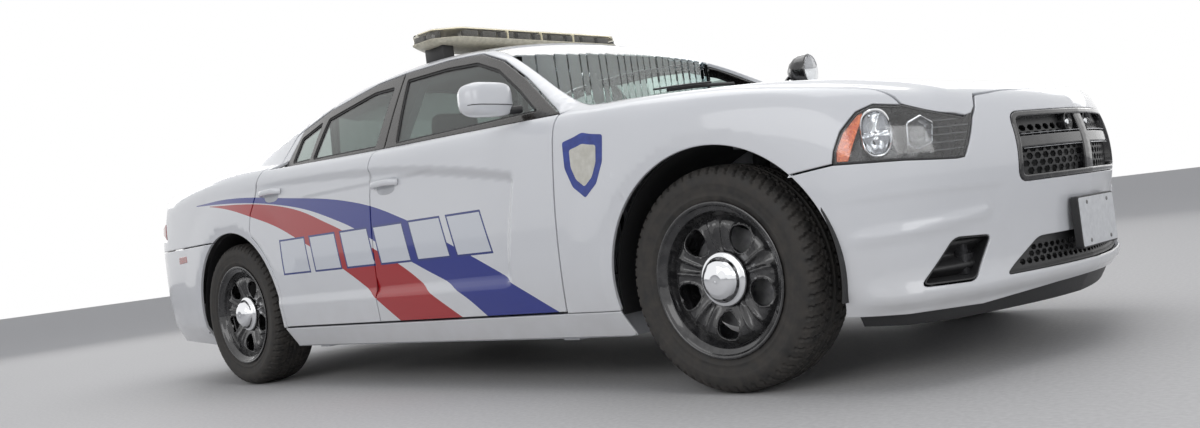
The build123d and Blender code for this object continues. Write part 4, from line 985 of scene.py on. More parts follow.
half = np.concatenate([
    drawn(line([(-1651, 0), (-1651, 687), (-2380, 687)]), top_rays),
    drawn(line([(687, 1030), (687, seam_z + SEAM_GAP), (0, seam_z + SEAM_GAP)]), astern_rays)])
LID_LAMP = [(480, 905), (680, 905), (680, 800), (500, 800)]
lamp_holes = [LID_LAMP, [(-y, z) for y, z in LID_LAMP[::-1]]]
holes = [lid_map(drawn(along(rounded(hole, 18), 12), astern_rays)) for hole in lamp_holes]
lid_skin = sheet_piece("trunk_lid_skin", lid_map(both_halves(half)), holes, lid_rays, body_paint, "trunk_lid",
                       level=lid_level, spacing=20.0, wall=10.0)
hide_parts("trunk_lid")

# Roof: pressed steel in body enamel, with the rails and the windscreen pillars in the same sheet.
# It ends where the windscreen, the side windows and the rear screen begin.
half = np.concatenate([
    drawn(line([(438, 0), (428, 300), (408, 520), (394, 595), (520, 633), (800, 717), (1118, 821),
                (1190, 846)]), top_rays),
    drawn(line([(1046, 990), (1022, 1006), (766, 1176), (589, 1279), (420, 1342), (190, 1360), (-128, 1364),
                (-341, 1356), (-706, 1298)]), flat_rays),
    drawn(line([(-712, 590), (-718, 400), (-722, 0)]), top_rays)])
roof = sheet_piece("roof_skin", roof_map(both_halves(half)), [], roof_rays, body_paint, spacing=23.0,
                   wall=16.0)
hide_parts("roof_panel", "roof_rails")

# Sill: the outer face of the box section under the doors, between the two arches. It is pressed
# steel in body enamel and stands a little proud.
front_low = 180 - math.degrees(math.asin((280 - FRONT_ARCH[1]) / (FRONT_ARCH[2] + 4)))
front_bottom = 180 - math.degrees(math.asin((194 - FRONT_ARCH[1]) / (FRONT_ARCH[2] + 4)))
sill_line = joined(line([(-940, 280), (1247, 280)]),
                   arc(FRONT_ARCH[0], FRONT_ARCH[1], FRONT_ARCH[2] + 4, front_low, front_bottom),
                   line([(1280, 192), (-910, 192)]))
skins("sill", [None, None], on_side(sill_line), [], side_rays, body_paint, proud=2.0, wall=6.0)

# Air dam: a moulding in grained black plastic that hangs under the painted bumper, a little behind
# its edge.
black_plastic = two_toned("black_plastic", (0.018, 0.018, 0.019), 0.5, 0.0, (420, 0.4, 0.62, 0.25, 0.0008),
                          (0.012, 0.012, 0.013), (0.03, 0.03, 0.031))
half = np.concatenate([
    drawn(line([(0, 244), (240, 242), (613, 228)]), ahead_rays),
    drawn(line([(2250, 229), (2110, 233)]), flat_rays),
    drawn(line([(2110, 180), (2250, 172)]), flat_rays),
    drawn(line([(613, 166), (0, 162)]), ahead_rays)])
sheet_piece("air_dam", nose_map(both_halves(half)), [], nose_rays, black_plastic, slot="trim_black",
            level=body_level, spacing=24.0, proud=-17.0, wall=6.0)


# Wheel arch liners: tunnels of ribbed black plastic over each wheel, open towards the tyre and
# fixed to the body. Each side's name goes with whether it is the mirrored one.
SIDES = (("left", False), ("right", True))
LINER_WALL, LINER_RIB = 7, 3.0


def arch_liner(name, centre_x, centre_z, radius, y0, y1):
    angles = np.radians(np.linspace(-12, 192, 70))
    steps = np.linspace(y0, y1, 14)
    outer, inner = [], []
    for k, angle in enumerate(angles):
        for y in steps:
            rib = LINER_RIB * (math.sin(y / 9) > 0.4)
            for ring, r in ((outer, radius + LINER_WALL), (inner, radius + rib)):
                ring.append((centre_x + math.cos(angle) * r, y, centre_z + math.sin(angle) * r))
    verts = np.array(outer + inner)
    rows, cols, n = len(angles), len(steps), len(outer)
    faces = []
    for i in range(rows - 1):
        for j in range(cols - 1):
            a, b, c, d = i * cols + j, i * cols + j + 1, (i + 1) * cols + j + 1, (i + 1) * cols + j
            faces += [(a, b, c, d), (a + n, d + n, c + n, b + n)]
    edge = list(range(cols)) + [i * cols + cols - 1 for i in range(1, rows)]
    edge += [(rows - 1) * cols + j for j in range(cols - 2, -1, -1)]
    edge += [i * cols for i in range(rows - 2, 0, -1)]
    faces += [(b, a, a + n, b + n) for a, b in zip(edge, edge[1:] + edge[:1])]
    for side, mirror in SIDES:
        piece(f"{name}_{side}", verts, faces, black_plastic, "root", mirror=mirror)


arch_liner("front_arch_liner", FRONT_ARCH[0], FRONT_ARCH[1], 428, 500, 905)
arch_liner("rear_arch_liner", REAR_ARCH[0], REAR_ARCH[1], 421, 640, 905)

# Steel wheels: a pressed disc with five windows and V-shaped spokes, welded into a stepped rim and
# sprayed gloss black, with a chromed dome over the hub
AXLE_Z, FRONT_AXLE, REAR_AXLE = 360.0, (1668.5, 805.0), (-1383.5, 810.0)
gloss_black, shader, tree = material("gloss_black_wheel", (0.02, 0.02, 0.023), 0.2, 0.35)
shader.inputs["Coat Weight"].default_value = 0.9
shader.inputs["Coat Roughness"].default_value = 0.04
tinted(tree, shader, grain(tree, shader, 36, 0.16, 0.34, 0.05, 0.001), (0.012, 0.012, 0.014),
       (0.045, 0.044, 0.045))
chrome, shader, tree = material("chrome", (0.85, 0.86, 0.88), 0.07, 1.0)
grain(tree, shader, 60, 0.04, 0.13, 0.02, 0.0005)


def lathe(name, profile, centre, finish, body, mirror=False, pieces=72, sharp=30.0):
    """A ring turned about an axle along Y from a closed profile of radius and offset."""
    profile = np.asarray(profile, float)
    angles = np.arange(pieces) / pieces * 2 * math.pi
    verts = np.array([(centre[0] + math.cos(a) * r, centre[1] + off, centre[2] + math.sin(a) * r)
                      for a in angles for r, off in profile])
    n = len(profile)
    faces = [(i * n + j, i * n + (j + 1) % n, ((i + 1) % pieces) * n + (j + 1) % n,
              ((i + 1) % pieces) * n + j)
             for i in range(pieces) for j in range(n)]
    x, y = profile[:, 0], profile[:, 1]
    if np.sum(x * np.roll(y, -1) - y * np.roll(x, -1)) < 0:
        faces = [f[::-1] for f in faces]
    return piece(name, verts, faces, finish, body, sharp=sharp, mirror=mirror)


def eased(points, radius, pieces=4):
    """A closed profile with its corners rounded."""
    return np.array(rounded(points, radius, pieces))


WINDOW_R, WINDOW_LONG, WINDOW_WIDE = 147.0, 41.0, 38.0
FIRST_WINDOW, FIRST_SPOKE, PITCH = 270, 306, 72     # degrees round the wheel


def window_outline(turn):
    """One window of the disc, wider towards the rim."""
    t = np.linspace(0, 2 * math.pi, 48, endpoint=False)
    radial = WINDOW_R + WINDOW_LONG * np.cos(t)
    wide = (WINDOW_WIDE + 7 * np.cos(t)) * np.sign(np.sin(t)) * np.abs(np.sin(t)) ** 0.85
    return np.stack([radial * math.cos(turn) - wide * math.sin(turn),
                     radial * math.sin(turn) + wide * math.cos(turn)], 1)


WINDOWS = [math.radians(FIRST_WINDOW + PITCH * k) for k in range(5)]
disc_profile = curve_through(np.array([(0, 64), (88, 64), (104, 68), (122, 73), (150, 79), (170, 80),
                                       (190, 72), (203, 58), (212, 50)], float))


def disc_face(u, v):
    """Offset of the disc's face at a place on it."""
    r, turn, pitch = np.hypot(u, v), np.arctan2(v, u), math.radians(PITCH)
    off = disc_profile(r)[0]
    spoke = (turn - math.radians(FIRST_SPOKE)) / pitch
    across = r * np.sin((spoke - np.round(spoke)) * pitch)
    fade = smooth_step((r - 84) / 24) * smooth_step((206 - r) / 22)
    half = 13 + 0.16 * np.maximum(r - 95, 0)
    ridges = 6.5 * np.exp(-((np.abs(across) - half) / 5.5) ** 2)
    off = off + fade * (ridges - 7.0 * np.exp(-(across / (half * 0.62)) ** 4))
    window = turn - math.radians(FIRST_WINDOW)
    window = (window / pitch - np.round(window / pitch)) * pitch
    along_r, beside = r * np.cos(window) - WINDOW_R, r * np.sin(window)
    near = np.hypot(along_r / WINDOW_LONG, beside / (WINDOW_WIDE + 7 * along_r / WINDOW_LONG)) - 1
    off = off + 5.0 * np.exp(-((near - 0.12) / 0.1) ** 2) - 7.0 * np.exp(-(near / 0.07) ** 2) * (near < 0.12)
    return off


def ring_faces(rows, count):
    """Faces between rings of points that follow one another."""
    return [(r * count + k, r * count + (k + 1) % count, (r + 1) * count + (k + 1) % count,
             (r + 1) * count + k)
            for r in range(rows - 1) for k in range(count)]


DISC_RADIUS, HUB_RADIUS = 211, 60
VALVE_TURN, VALVE_PLACE, VALVE_ROUND = math.radians(330), 205, 12
VALVE = ((3.4, 92), (3.4, 100), (4.3, 101), (4.3, 112), (3.2, 114))     # radius and offset


def wheel(name, body, centre_x, centre_y, replaced, mirror):
    """One wheel: disc, rim and hub dome, standing for its node."""
    def rays(uv):
        start = np.stack([centre_x + uv[:, 0], np.full(len(uv), centre_y), AXLE_Z + uv[:, 1]], 1)
        return start, np.tile([0.0, 1.0, 0.0], (len(uv), 1))

    def level(p):
        return (p[:, 1] - centre_y - disc_face(p[:, 0] - centre_x, p[:, 2] - AXLE_Z)) * 0.9

    turns = np.linspace(0, 2 * math.pi, 150, endpoint=False)
    outline = DISC_RADIUS * np.stack([np.cos(turns), np.sin(turns)], 1)
    hub = HUB_RADIUS * np.stack([np.cos(turns[::3]), np.sin(turns[::3])], 1)
    points, faces, dirs = pressed_sheet(outline, [window_outline(w) for w in WINDOWS] + [hub], rays, level,
                                        6.0, 5.0)
    disc = piece(f"{name}_disc", points, faces, gloss_black, body, dirs, mirror=mirror)
    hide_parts(replaced)
    centre = (centre_x, centre_y, AXLE_Z)
    rim = eased([(206, 44), (213, 58), (219, 70), (223, 84), (230, 91), (237, 95), (241, 102), (247, 104.5),
                 (248, 108), (243, 110), (238, 108), (233, 101), (226, 96), (217, 90), (213, 76), (206, 62),
                 (199, 50), (194, 30), (188, -30), (209, -46), (215, -86), (232, -106), (248, -107),
                 (248, -101), (238, -97), (226, -84), (220, -34), (200, -20), (204, 26)], 2.2, 3)
    lathe(f"{name}_rim", rim, centre, gloss_black, body, mirror, 120)
    dome = eased([(0.01, 119), (22, 118.5), (46, 114), (60, 106), (67, 96), (70, 86), (74, 82), (84, 79),
                  (87, 75), (87, 69), (80, 67), (0.01, 66)], 2.5, 4)
    lathe(f"{name}_dome", dome, centre, chrome, body, mirror, 96, 40)
    valve_x = centre_x + math.cos(VALVE_TURN) * VALVE_PLACE
    valve_z = AXLE_Z + math.sin(VALVE_TURN) * VALVE_PLACE
    ring = []
    for r, off in VALVE:
        ring += [(valve_x + math.cos(a) * r, centre_y + off, valve_z + math.sin(a) * r)
                 for a in np.arange(VALVE_ROUND) * math.pi / 6]
    n, rows = VALVE_ROUND, len(VALVE)
    faces = ring_faces(rows, n) + [tuple(range(n))[::-1], tuple(range((rows - 1) * n, rows * n))]
    piece(f"{name}_valve", ring, faces, black_plastic, body, mirror=mirror)


# Tyres: rubber with a ribbed sidewall, a blank raised band, and a tread of five ribs whose outer
# blocks run round the shoulders, cut by slanted slots and fine sipes
rubber = two_toned("tyre_rubber", (0.025, 0.024, 0.023), 0.75, 0.0, (26, 0.62, 0.88, 0.12, 0.0015),
                   (0.014, 0.0135, 0.013), (0.06, 0.054, 0.048))
TYRE_PROFILE = np.array([
    (236, 90), (240, 97), (247, 101), (254, 104), (260, 106.5), (264, 109.5), (268, 110), (272, 108.6),
    (280, 111), (290, 112.6), (299, 113.1), (301, 113.9), (303, 114.2), (322, 113.2), (324, 112.0),
    (330, 110.6), (335, 108.6), (340, 105.6), (344.5, 102), (348.5, 97.5), (352, 91.5), (354.6, 84.5),
    (356.4, 77), (357.6, 69.5), (358.4, 62)], float)
crown = [(359.9 - 1.5 * (y / 62) ** 2, y) for y in np.linspace(58, 0, 20)]
TYRE_HALF = np.concatenate([TYRE_PROFILE, crown])
TYRE_RING = np.concatenate([TYRE_HALF, TYRE_HALF[-2::-1] * (1, -1)])
GROOVES = (12.0, 37.0)
PITCHES, PER_PITCH = 62, 6
SLOT_DEPTH, SIPE_DEPTH, GROOVE_DEPTH, RIB_HEIGHT = 6.5, 2.6, 7.5, 0.55


def tyre(name, body, centre_x, centre_y, replaced, mirror):
    """One tyre: its ring's points pushed in where the tread is cut, turned round the axle."""
    count = PITCHES * PER_PITCH
    r, off = TYRE_RING[:, 0], TYRE_RING[:, 1]
    turn = np.arange(count) / count * 2 * math.pi
    phase = (np.arange(count) / PER_PITCH)[:, None] + np.sign(off) * np.abs(off) / 105.0
    slot = (phase % 1) < 0.22
    sipe = ((phase % 1) > 0.56) & ((phase % 1) < 0.67)
    groove = np.zeros(len(off))
    for at in GROOVES:
        groove = np.maximum(groove, np.exp(-((np.abs(off) - at) / 4.2) ** 4))
    on_shoulder = (np.abs(off) > 48) & (r > 333)
    on_crown = np.abs(off) <= 48
    between_grooves = (np.abs(off) > 18) & on_crown & (np.abs(off) < 33)
    depth = np.where(slot, SLOT_DEPTH, 0.0) * (on_shoulder | between_grooves)
    depth = np.maximum(depth, np.where(sipe, SIPE_DEPTH, 0.0) * (on_shoulder | on_crown))
    depth = np.maximum(depth, GROOVE_DEPTH * groove * (r > 340))
    depth = depth * np.clip((r - 331) / 9, 0, 1)
    radius = r - depth
    side = off - np.sign(off) * depth * 0.45 * (np.abs(off) > 80)
    side = side + np.sign(off) * RIB_HEIGHT * (np.arange(count) % 4 < 2)[:, None] * ((r > 305) & (r < 321))
    x = centre_x + np.cos(turn)[:, None] * radius
    z = AXLE_Z + np.sin(turn)[:, None] * radius
    y = centre_y + side
    verts = np.stack([x, y, z], -1).reshape(-1, 3)
    n = len(off)
    i, j = np.meshgrid(np.arange(count), np.arange(n - 1), indexing="ij")
    k = (i + 1) % count
    quads = np.stack([i * n + j, i * n + j + 1, k * n + j + 1, k * n + j], -1).reshape(-1, 4)
    closing = [(a * n + n - 1, a * n, ((a + 1) % count) * n, ((a + 1) % count) * n + n - 1)
               for a in range(count)]
    faces = [tuple(q)[::-1] for q in quads.tolist() + closing]
    made = piece(name, verts, faces, rubber, body, sharp=38.0, mirror=mirror)
    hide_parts(replaced)


for end, (centre_x, centre_y) in (("front", FRONT_AXLE), ("rear", REAR_AXLE)):
    for side, mirror in SIDES:
        body = f"{end}_wheel_{side}"
        wheel(f"{end}_wheel_{side}", body, centre_x, centre_y, f"{end}_rim_{side}", mirror)
        tyre(f"{end}_tread_{side}", body, centre_x, centre_y, f"{end}_tyre_{side}", mirror)

# Window surrounds: dark glossy strips on the doors' frames, one piece a door, with the openings
# for the panes. The rear one has a thin upright before its small fixed pane.
window_trim, shader, tree = material("dark_window_trim", (0.02, 0.018, 0.017), 0.25)
shader.inputs["Coat Weight"].default_value = 0.5
tinted(tree, shader, grain(tree, shader, 40, 0.2, 0.34, 0.04), (0.016, 0.014, 0.013), (0.034, 0.03, 0.028))
front_pane = [(905, 1022), (755, 1128), (575, 1242), (408, 1304), (200, 1322), (-88, 1326), (-2, 1034)]
rear_pane = [(-690, 1058), (-150, 1040), (-172, 1310), (-335, 1314), (-700, 1252)]
fixed_pane = [(-905, 1190), (-884, 1064), (-718, 1062), (-748, 1246)]


def over_belt(x0, x1, rise=3.0):
    return line([(x, float(belt(x)[0]) + rise) for x in np.linspace(x0, x1, 24)])


front_surround = joined(
    over_belt(-76, 1040), line([(1036, 1000), (1014, 1004), (760, 1172), (585, 1274), (418, 1338),
                                (190, 1356), (-122, 1360), (-77, 1046)]))
rear_surround = joined(
    over_belt(-969, -84), line([(-84, 1040), (-130, 1358), (-341, 1350), (-720, 1293), (-927, 1227),
                                (-933, 1089)]))
cabin_side = dict(level=cabin_level, spacing=14.0, wall=16.0)
skins("front_window_surround", [None, None], front_surround, [along(rounded(front_pane, 16), 12)], flat_rays,
      window_trim, ("front_door_left", "front_door_right"), "trim_black", **cabin_side)
skins("rear_window_surround", [None, None], rear_surround,
      [along(rounded(rear_pane, 16), 12), along(rounded(fixed_pane, 16), 12)], flat_rays,
      window_trim, ("rear_door_left", "rear_door_right"), "trim_black", **cabin_side)

# Window seals: soft lips of black rubber round each side pane, pressed over the edge of its
# surround.
seal_rubber = two_toned("seal_rubber", (0.012, 0.012, 0.013), 0.6, 0.0, (220, 0.5, 0.7, 0.1),
                        (0.009, 0.009, 0.01), (0.02, 0.02, 0.021))


def window_seal(name, pane, bodies):
    loop = turned_left(np.array(along(rounded(pane, 16), 10)))
    skins(name, [None, None], inward(loop, -1.0), [inward(loop, 9.0)], flat_rays, seal_rubber, bodies,
          "trim_black", level=cabin_level, spacing=9.0, wall=12.0, proud=-4.0, roll=2.0)


window_seal("front_window_seal", front_pane, ("front_door_left", "front_door_right"))
window_seal("rear_window_seal", rear_pane, ("rear_door_left", "rear_door_right"))
window_seal("fixed_window_seal", fixed_pane, ("rear_door_left", "rear_door_right"))


# Glass: tinted safety glass, which lets the lamps through. The windscreen has a darker band at
# the top.
def glazing(name, tint, rough=0.01):
    """Clear glass of one tint; returns the material, its shader and its node tree."""
    made, shader, tree = material(name, tint, rough)
    shader.inputs["Transmission Weight"].default_value = 1.0
    shader.inputs["IOR"].default_value = 1.04
    shader.inputs["Coat Weight"].default_value = 1.0
    shader.inputs["Coat Roughness"].default_value = 0.06
    specks = grain(tree, shader, 6, rough, rough + 0.03)
    tinted(tree, shader, specks, tuple(0.94 * v for v in tint), tint)
    output = tree.nodes["Material Output"]
    shadow = node(tree, "ShaderNodeLightPath")
    clear = node(tree, "ShaderNodeBsdfTransparent", in_Color=(*tint, 1))
    mix = node(tree, "ShaderNodeMixShader")
    tree.links.new(shadow.outputs["Is Shadow Ray"], mix.inputs[0])
    tree.links.new(shader.outputs[0], mix.inputs[1])
    tree.links.new(clear.outputs[0], mix.inputs[2])
    tree.links.new(mix.outputs[0], output.inputs["Surface"])
    return made, shader, tree


side_glass = glazing("tinted_side_glass", (0.3, 0.36, 0.34))[0]
clear_glass, shader, tree = glazing("windscreen_glass", (0.62, 0.7, 0.68))
place = node(tree, "ShaderNodeTexCoord")
axes = node(tree, "ShaderNodeSeparateXYZ")
tree.links.new(place.outputs["Object"], axes.inputs[0])
band = node(tree, "ShaderNodeMapRange", in_From_Min=0.66, in_From_Max=0.42)
tree.links.new(axes.outputs["X"], band.inputs["Value"])
shade = node(tree, "ShaderNodeMix", data_type="RGBA")
shade.inputs["A"].default_value, shade.inputs["B"].default_value = (0.62, 0.7, 0.68, 1), (0.05, 0.11, 0.24, 1)
tree.links.new(band.outputs["Result"], shade.inputs["Factor"])
tree.links.new(shade.outputs["Result"], shader.inputs["Base Color"])

front_glass = [(925, 1010), (758, 1134), (578, 1250), (410, 1313), (200, 1331), (-96, 1335), (-30, 1012)]
rear_glass = [(-918, 1196), (-896, 1048), (-100, 1024), (-162, 1320), (-335, 1323), (-702, 1262)]
for name, outline in (("front", front_glass), ("rear", rear_glass)):
    skins(f"{name}_door_pane", [(f"{name}_door_glass_left",), (f"{name}_door_glass_right",)],
          along(outline, 16), [], flat_rays, side_glass, (f"{name}_door_left", f"{name}_door_right"), "glass",
          level=cabin_level, spacing=30.0, wall=5.0, proud=-8.0, roll=1.0)

windscreen_half = [(443, 0), (433, 300), (413, 520), (402, 590), (520, 627), (800, 711), (1110, 813),
                   (1148, 800), (1236, 610), (1290, 300), (1304, 0)]
rear_window_half = [(-728, 0), (-724, 400), (-719, 584), (-1100, 632), (-1450, 668), (-1560, 680),
                    (-1610, 500), (-1638, 250), (-1644, 0)]
# The panes are bonded in over a black printed border. These four pieces are at fault: top_rays
# starts at z 400, which cabin_level counts as outside, so that each sheet lies at its rays' start
# wherever the glass is lower than z 1300.
# Columns: name, half outline, finish and width of the border
SCREENS = [
    ("windscreen", windscreen_half, clear_glass, 44),
    ("rear_screen", rear_window_half, side_glass, 38),
]
for name, half, finish, border in SCREENS:
    loop = turned_left(both_halves(line(half, 14)))
    points, faces, _ = pressed_sheet(loop, [], top_rays, level=cabin_level, spacing=24.0, wall=5.0,
                                     proud=-3.0, roll=1.0)
    pane = piece(f"{name}_pane", points, faces, finish, "root")
    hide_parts("windshield" if name == "windscreen" else "rear_window")
    sheet_piece(f"{name}_border", inward(loop, 2.0), [inward(loop, border)], top_rays, seal_rubber,
                slot="trim_black", level=cabin_level, spacing=18.0, wall=2.0, proud=-9.0, roll=0.5)

# Cowl: the panel of grained black plastic between the hood and the windscreen. Two wipers stand on
# it, each a black arm and a rubber blade.
cowl_half = [(1340, 0), (1328, 300), (1290, 600), (1212, 812), (1132, 836), (1112, 806), (1200, 610),
             (1240, 300), (1256, 0)]
cowl_rays, cowl_map = tilted(0.2, 500.0)
loop = cowl_map(drawn(both_halves(line(cowl_half, 14)), top_rays))
sheet_piece("cowl", loop, [], cowl_rays, black_plastic, slot="trim_black", spacing=20.0, wall=4.0,
            proud=-12.0)


def swept(name, path, section, finish, body, up=(0, 0, 1), sharp=40.0, mirror=False):
    """A bar of one section along a path; the section is given across the path and along up."""
    path, section = np.asarray(path, float), np.asarray(section, float)
    ahead_of = np.gradient(path, axis=0)
    ahead_of /= np.linalg.norm(ahead_of, axis=1, keepdims=True)
    ups = np.broadcast_to(np.asarray(up, float), path.shape)
    across = np.cross(ahead_of, ups)
    across /= np.linalg.norm(across, axis=1, keepdims=True)
    ups = np.cross(across, ahead_of)
    points = path[:, None] + across[:, None] * section[None, :, :1] + ups[:, None] * section[None, :, 1:]
    rows, count = len(path), len(section)
    faces = [(i * count + k, (i + 1) * count + k, (i + 1) * count + (k + 1) % count,
              i * count + (k + 1) % count)
             for i in range(rows - 1) for k in range(count)]
    faces += [tuple(range(count)), tuple(range((rows - 1) * count, rows * count))[::-1]]
    x, y = section[:, 0], section[:, 1]
    if np.sum(x * np.roll(y, -1) - y * np.roll(x, -1)) < 0:
        faces = [f[::-1] for f in faces]
    return piece(name, points.reshape(-1, 3), faces, finish, body, sharp=sharp, mirror=mirror)


def oval(half_across, half_up, count=12, power=2.0):
    """A closed rounded section."""
    angles = np.arange(count) / count * 2 * math.pi
    c, s = np.cos(angles), np.sin(angles)
    return np.stack([np.sign(c) * np.abs(c) ** (2 / power) * half_across,
                     np.sign(s) * np.abs(s) ** (2 / power) * half_up], 1)


for number, (pivot_y, tip_y) in enumerate(((-560, 20), (90, 640))):
    share = np.linspace(0, 1, 18)
    across = pivot_y + (tip_y - pivot_y) * share
    flat = np.stack([1262 - 92 * share ** 0.8 - 40 * (np.abs(across) / 700) ** 2 * 1.6, across], 1)
    on_glass = reach(*top_rays(flat), form_level)
    swept(f"wiper_arm_{number}", on_glass[:12] + np.array([0, 0, 16]), oval(8, 4), black_plastic, "root")
    swept(f"wiper_blade_{number}", on_glass[3:] + np.array([-14, 0, 7]), oval(5, 7), seal_rubber, "root")


# Door insides: a painted frame behind each skin, and a moulded card in dark vinyl with an armrest
# and a map pocket pressed in.
card_vinyl = two_toned("door_card_vinyl", (0.05, 0.052, 0.056), 0.6, 0.0, (380, 0.5, 0.72, 0.3, 0.0008),
                       (0.036, 0.038, 0.041), (0.07, 0.073, 0.078))


def rim_wall(loop, rays, outer_level, inner_level, thick=4.0):
    """A closed wall along a loop, from one level in to another; returns points and faces."""
    loop = turned_left(np.asarray(loop, float))
    inner = inward(loop, thick)
    rings = [reach(*rays(loop), outer_level), reach(*rays(loop), inner_level),
             reach(*rays(inner), inner_level), reach(*rays(inner), outer_level)]
    count = len(loop)
    ids = [k * count + np.arange(count) for k in range(4)]
    faces = []
    for a, b in zip(ids, ids[1:] + ids[:1]):
        faces += [tuple(f) for f in np.stack([a, np.roll(a, -1), np.roll(b, -1), b], 1)]
    points = np.concatenate(rings)
    middle = (rings[0] + rings[2]) / 2
    a, b, c = points[faces[0][0]], points[faces[0][1]], points[faces[0][2]]
    if np.dot(np.cross(b - a, c - a), (rings[0] - rings[3])[0]) < 0:
        faces = [f[::-1] for f in faces]
    return points, faces


CARD_Y = 812.0


def card_level(p):
    """The inner face of a door: a flat card with a raised armrest and a map pocket."""
    x, y, z = p[..., 0], np.abs(p[..., 1]), p[..., 2]
    rest = 26 * smooth_step((z - 690) / 24) * smooth_step((770 - z) / 20)
    pocket = 16 * smooth_step((z - 350) / 20) * smooth_step((500 - z) / 20)
    return y - CARD_Y + 14 + rest + pocket


def below_paint(p):
    return form_level(p) + 13


for name, outline, top in (("front", door_line, front_pane), ("rear", rear_door_line, rear_pane)):
    loop = turned_left(np.asarray(outline, float))
    inner = inward(loop, 13.0)[::2]
    inner = inner[inner[:, 1] < 1040]
    for side, mirror in SIDES:
        points, faces = rim_wall(inner, flat_rays, below_paint, lambda p: np.abs(p[..., 1]) - CARD_Y)
        piece(f"{name}_door_frame_{side}", points, faces, inner_paint, f"{name}_door_{side}",
              mirror=mirror)
    skins(f"{name}_door_card", [None, None], inward(inner, 2.0), [], flat_rays, card_vinyl,
          (f"{name}_door_left", f"{name}_door_right"), "dash_plastic", level=card_level, spacing=22.0,
          wall=8.0)


# Headlamps: a clear moulded cover over a deep black housing. Inside sit a tall oval reflector, a
# projector in a six-sided bright bezel, level fins towards the grille and an amber corner.
lamp_clear = glazing("clear_lamp_cover", (0.93, 0.94, 0.95))[0]
mirror_chrome = two_toned("reflector_chrome", (0.86, 0.87, 0.88), 0.06, 1.0, (30, 0.04, 0.12, 0.03),
                          (0.78, 0.79, 0.81), (0.92, 0.93, 0.94))
amber, shader, tree = material("amber_plastic", (0.75, 0.12, 0.01), 0.25)
shader.inputs["Transmission Weight"].default_value = 0.25
shader.inputs["Coat Weight"].default_value = 0.6
ribs = grain(tree, shader, 90, 0.2, 0.32, 0.3, 0.001)
tinted(tree, shader, ribs, (0.62, 0.07, 0.006), (0.9, 0.2, 0.02))
fin_plastic = two_toned("satin_fin_plastic", (0.05, 0.05, 0.054), 0.35, 0.0, (120, 0.3, 0.45, 0.05),
                        (0.035, 0.035, 0.038), (0.085, 0.085, 0.09))

lamp_loop = nose_map(joined(
    drawn(line([(509, 781), (533, 757), (610, 642)], 8), ahead_rays, body_level),
    drawn(line([(2367, 640), (2282, 652), (2121, 664)], 8), flat_rays, body_level),
    drawn(line([(2124, 702), (2145, 755), (2180, 803), (2216, 820), (2264, 809)], 8), flat_rays, body_level),
    drawn(line([(2271, 812), (2314, 788), (2338, 775), (2369, 758)], 8), flat_rays, body_level)))
lamp_loop = turned_left(lamp_loop)
skins("headlamp_cover", [("headlamps",), None], inward(lamp_loop, 1.0), [], nose_rays, lamp_clear,
      slot="lamp_lens",
      level=body_level, wall=4.0, proud=-1.0, roll=2.0)
skins("headlamp_seal", [None, None], inward(lamp_loop, -2.0), [inward(lamp_loop, 5.0)], nose_rays,
      seal_rubber,
      slot="trim_black", level=body_level, spacing=8.0, wall=12.0, proud=-2.5, roll=1.0)
for side, mirror in SIDES:
    points, faces = rim_wall(inward(lamp_loop, 3.0), nose_rays, lambda p: body_level(p) + 7,
                             lambda p: body_level(p) + 78, 3.0)
    piece(f"headlamp_bowl_{side}", points, faces, gloss_black, "root", mirror=mirror)
skins("headlamp_back", [None, None], inward(lamp_loop, 3.0), [], nose_rays, gloss_black, slot="trim_black",
      level=lambda p: body_level(p) + 74, spacing=24.0, wall=3.0)
amber_loop = nose_map(drawn(line([(2127, 671), (2160, 669), (2196, 788), (2194, 806), (2180, 799),
                                  (2149, 754), (2129, 702), (2127, 671)], 8)[:-1], flat_rays, body_level))
skins("headlamp_corner", [None, None], amber_loop, [], nose_rays, amber, slot="lamp_lens",
      level=lambda p: body_level(p) + 9, spacing=10.0, wall=3.0, roll=1.0)


def facing_cup(name, centre, facing, outline, rings, finish, mirror=False, sharp=30.0):
    """A form round a facing line: its outline at each ring's scale and distance ahead."""
    facing = np.asarray(facing, float) / np.linalg.norm(facing)
    across = np.cross((0.0, 0.0, 1.0), facing)
    across /= np.linalg.norm(across)
    upward_of = np.cross(facing, across)
    outline = np.asarray(outline, float)
    plane = outline[:, :1] * across + outline[:, 1:] * upward_of
    points = [np.asarray(centre, float) + plane * scale + facing * forward for scale, forward in rings]
    count, rows = len(outline), len(rings)
    faces = ring_faces(rows, count)
    faces += [tuple(range(count))[::-1], tuple(range((rows - 1) * count, rows * count))]
    return piece(name, np.concatenate(points), faces, finish, "root", sharp=sharp, mirror=mirror)


six_sided = along(rounded([(-6, 47), (34, 30), (38, -32), (14, -46), (-30, -32), (-38, 24)], 7, 4), 6)
bowl = [(0.06, -52), (0.6, -48), (1.0, -20), (1.1, -1), (1.1, 3), (1.03, 6), (0.97, 3), (0.95, -4),
        (0.88, -14), (0.72, -26), (0.5, -35), (0.25, -41), (0.04, -43)]
dome = [(0.04, -30), (0.95, -28), (1.0, -12), (0.96, -4), (0.82, 5), (0.6, 11), (0.33, 15), (0.04, 16)]
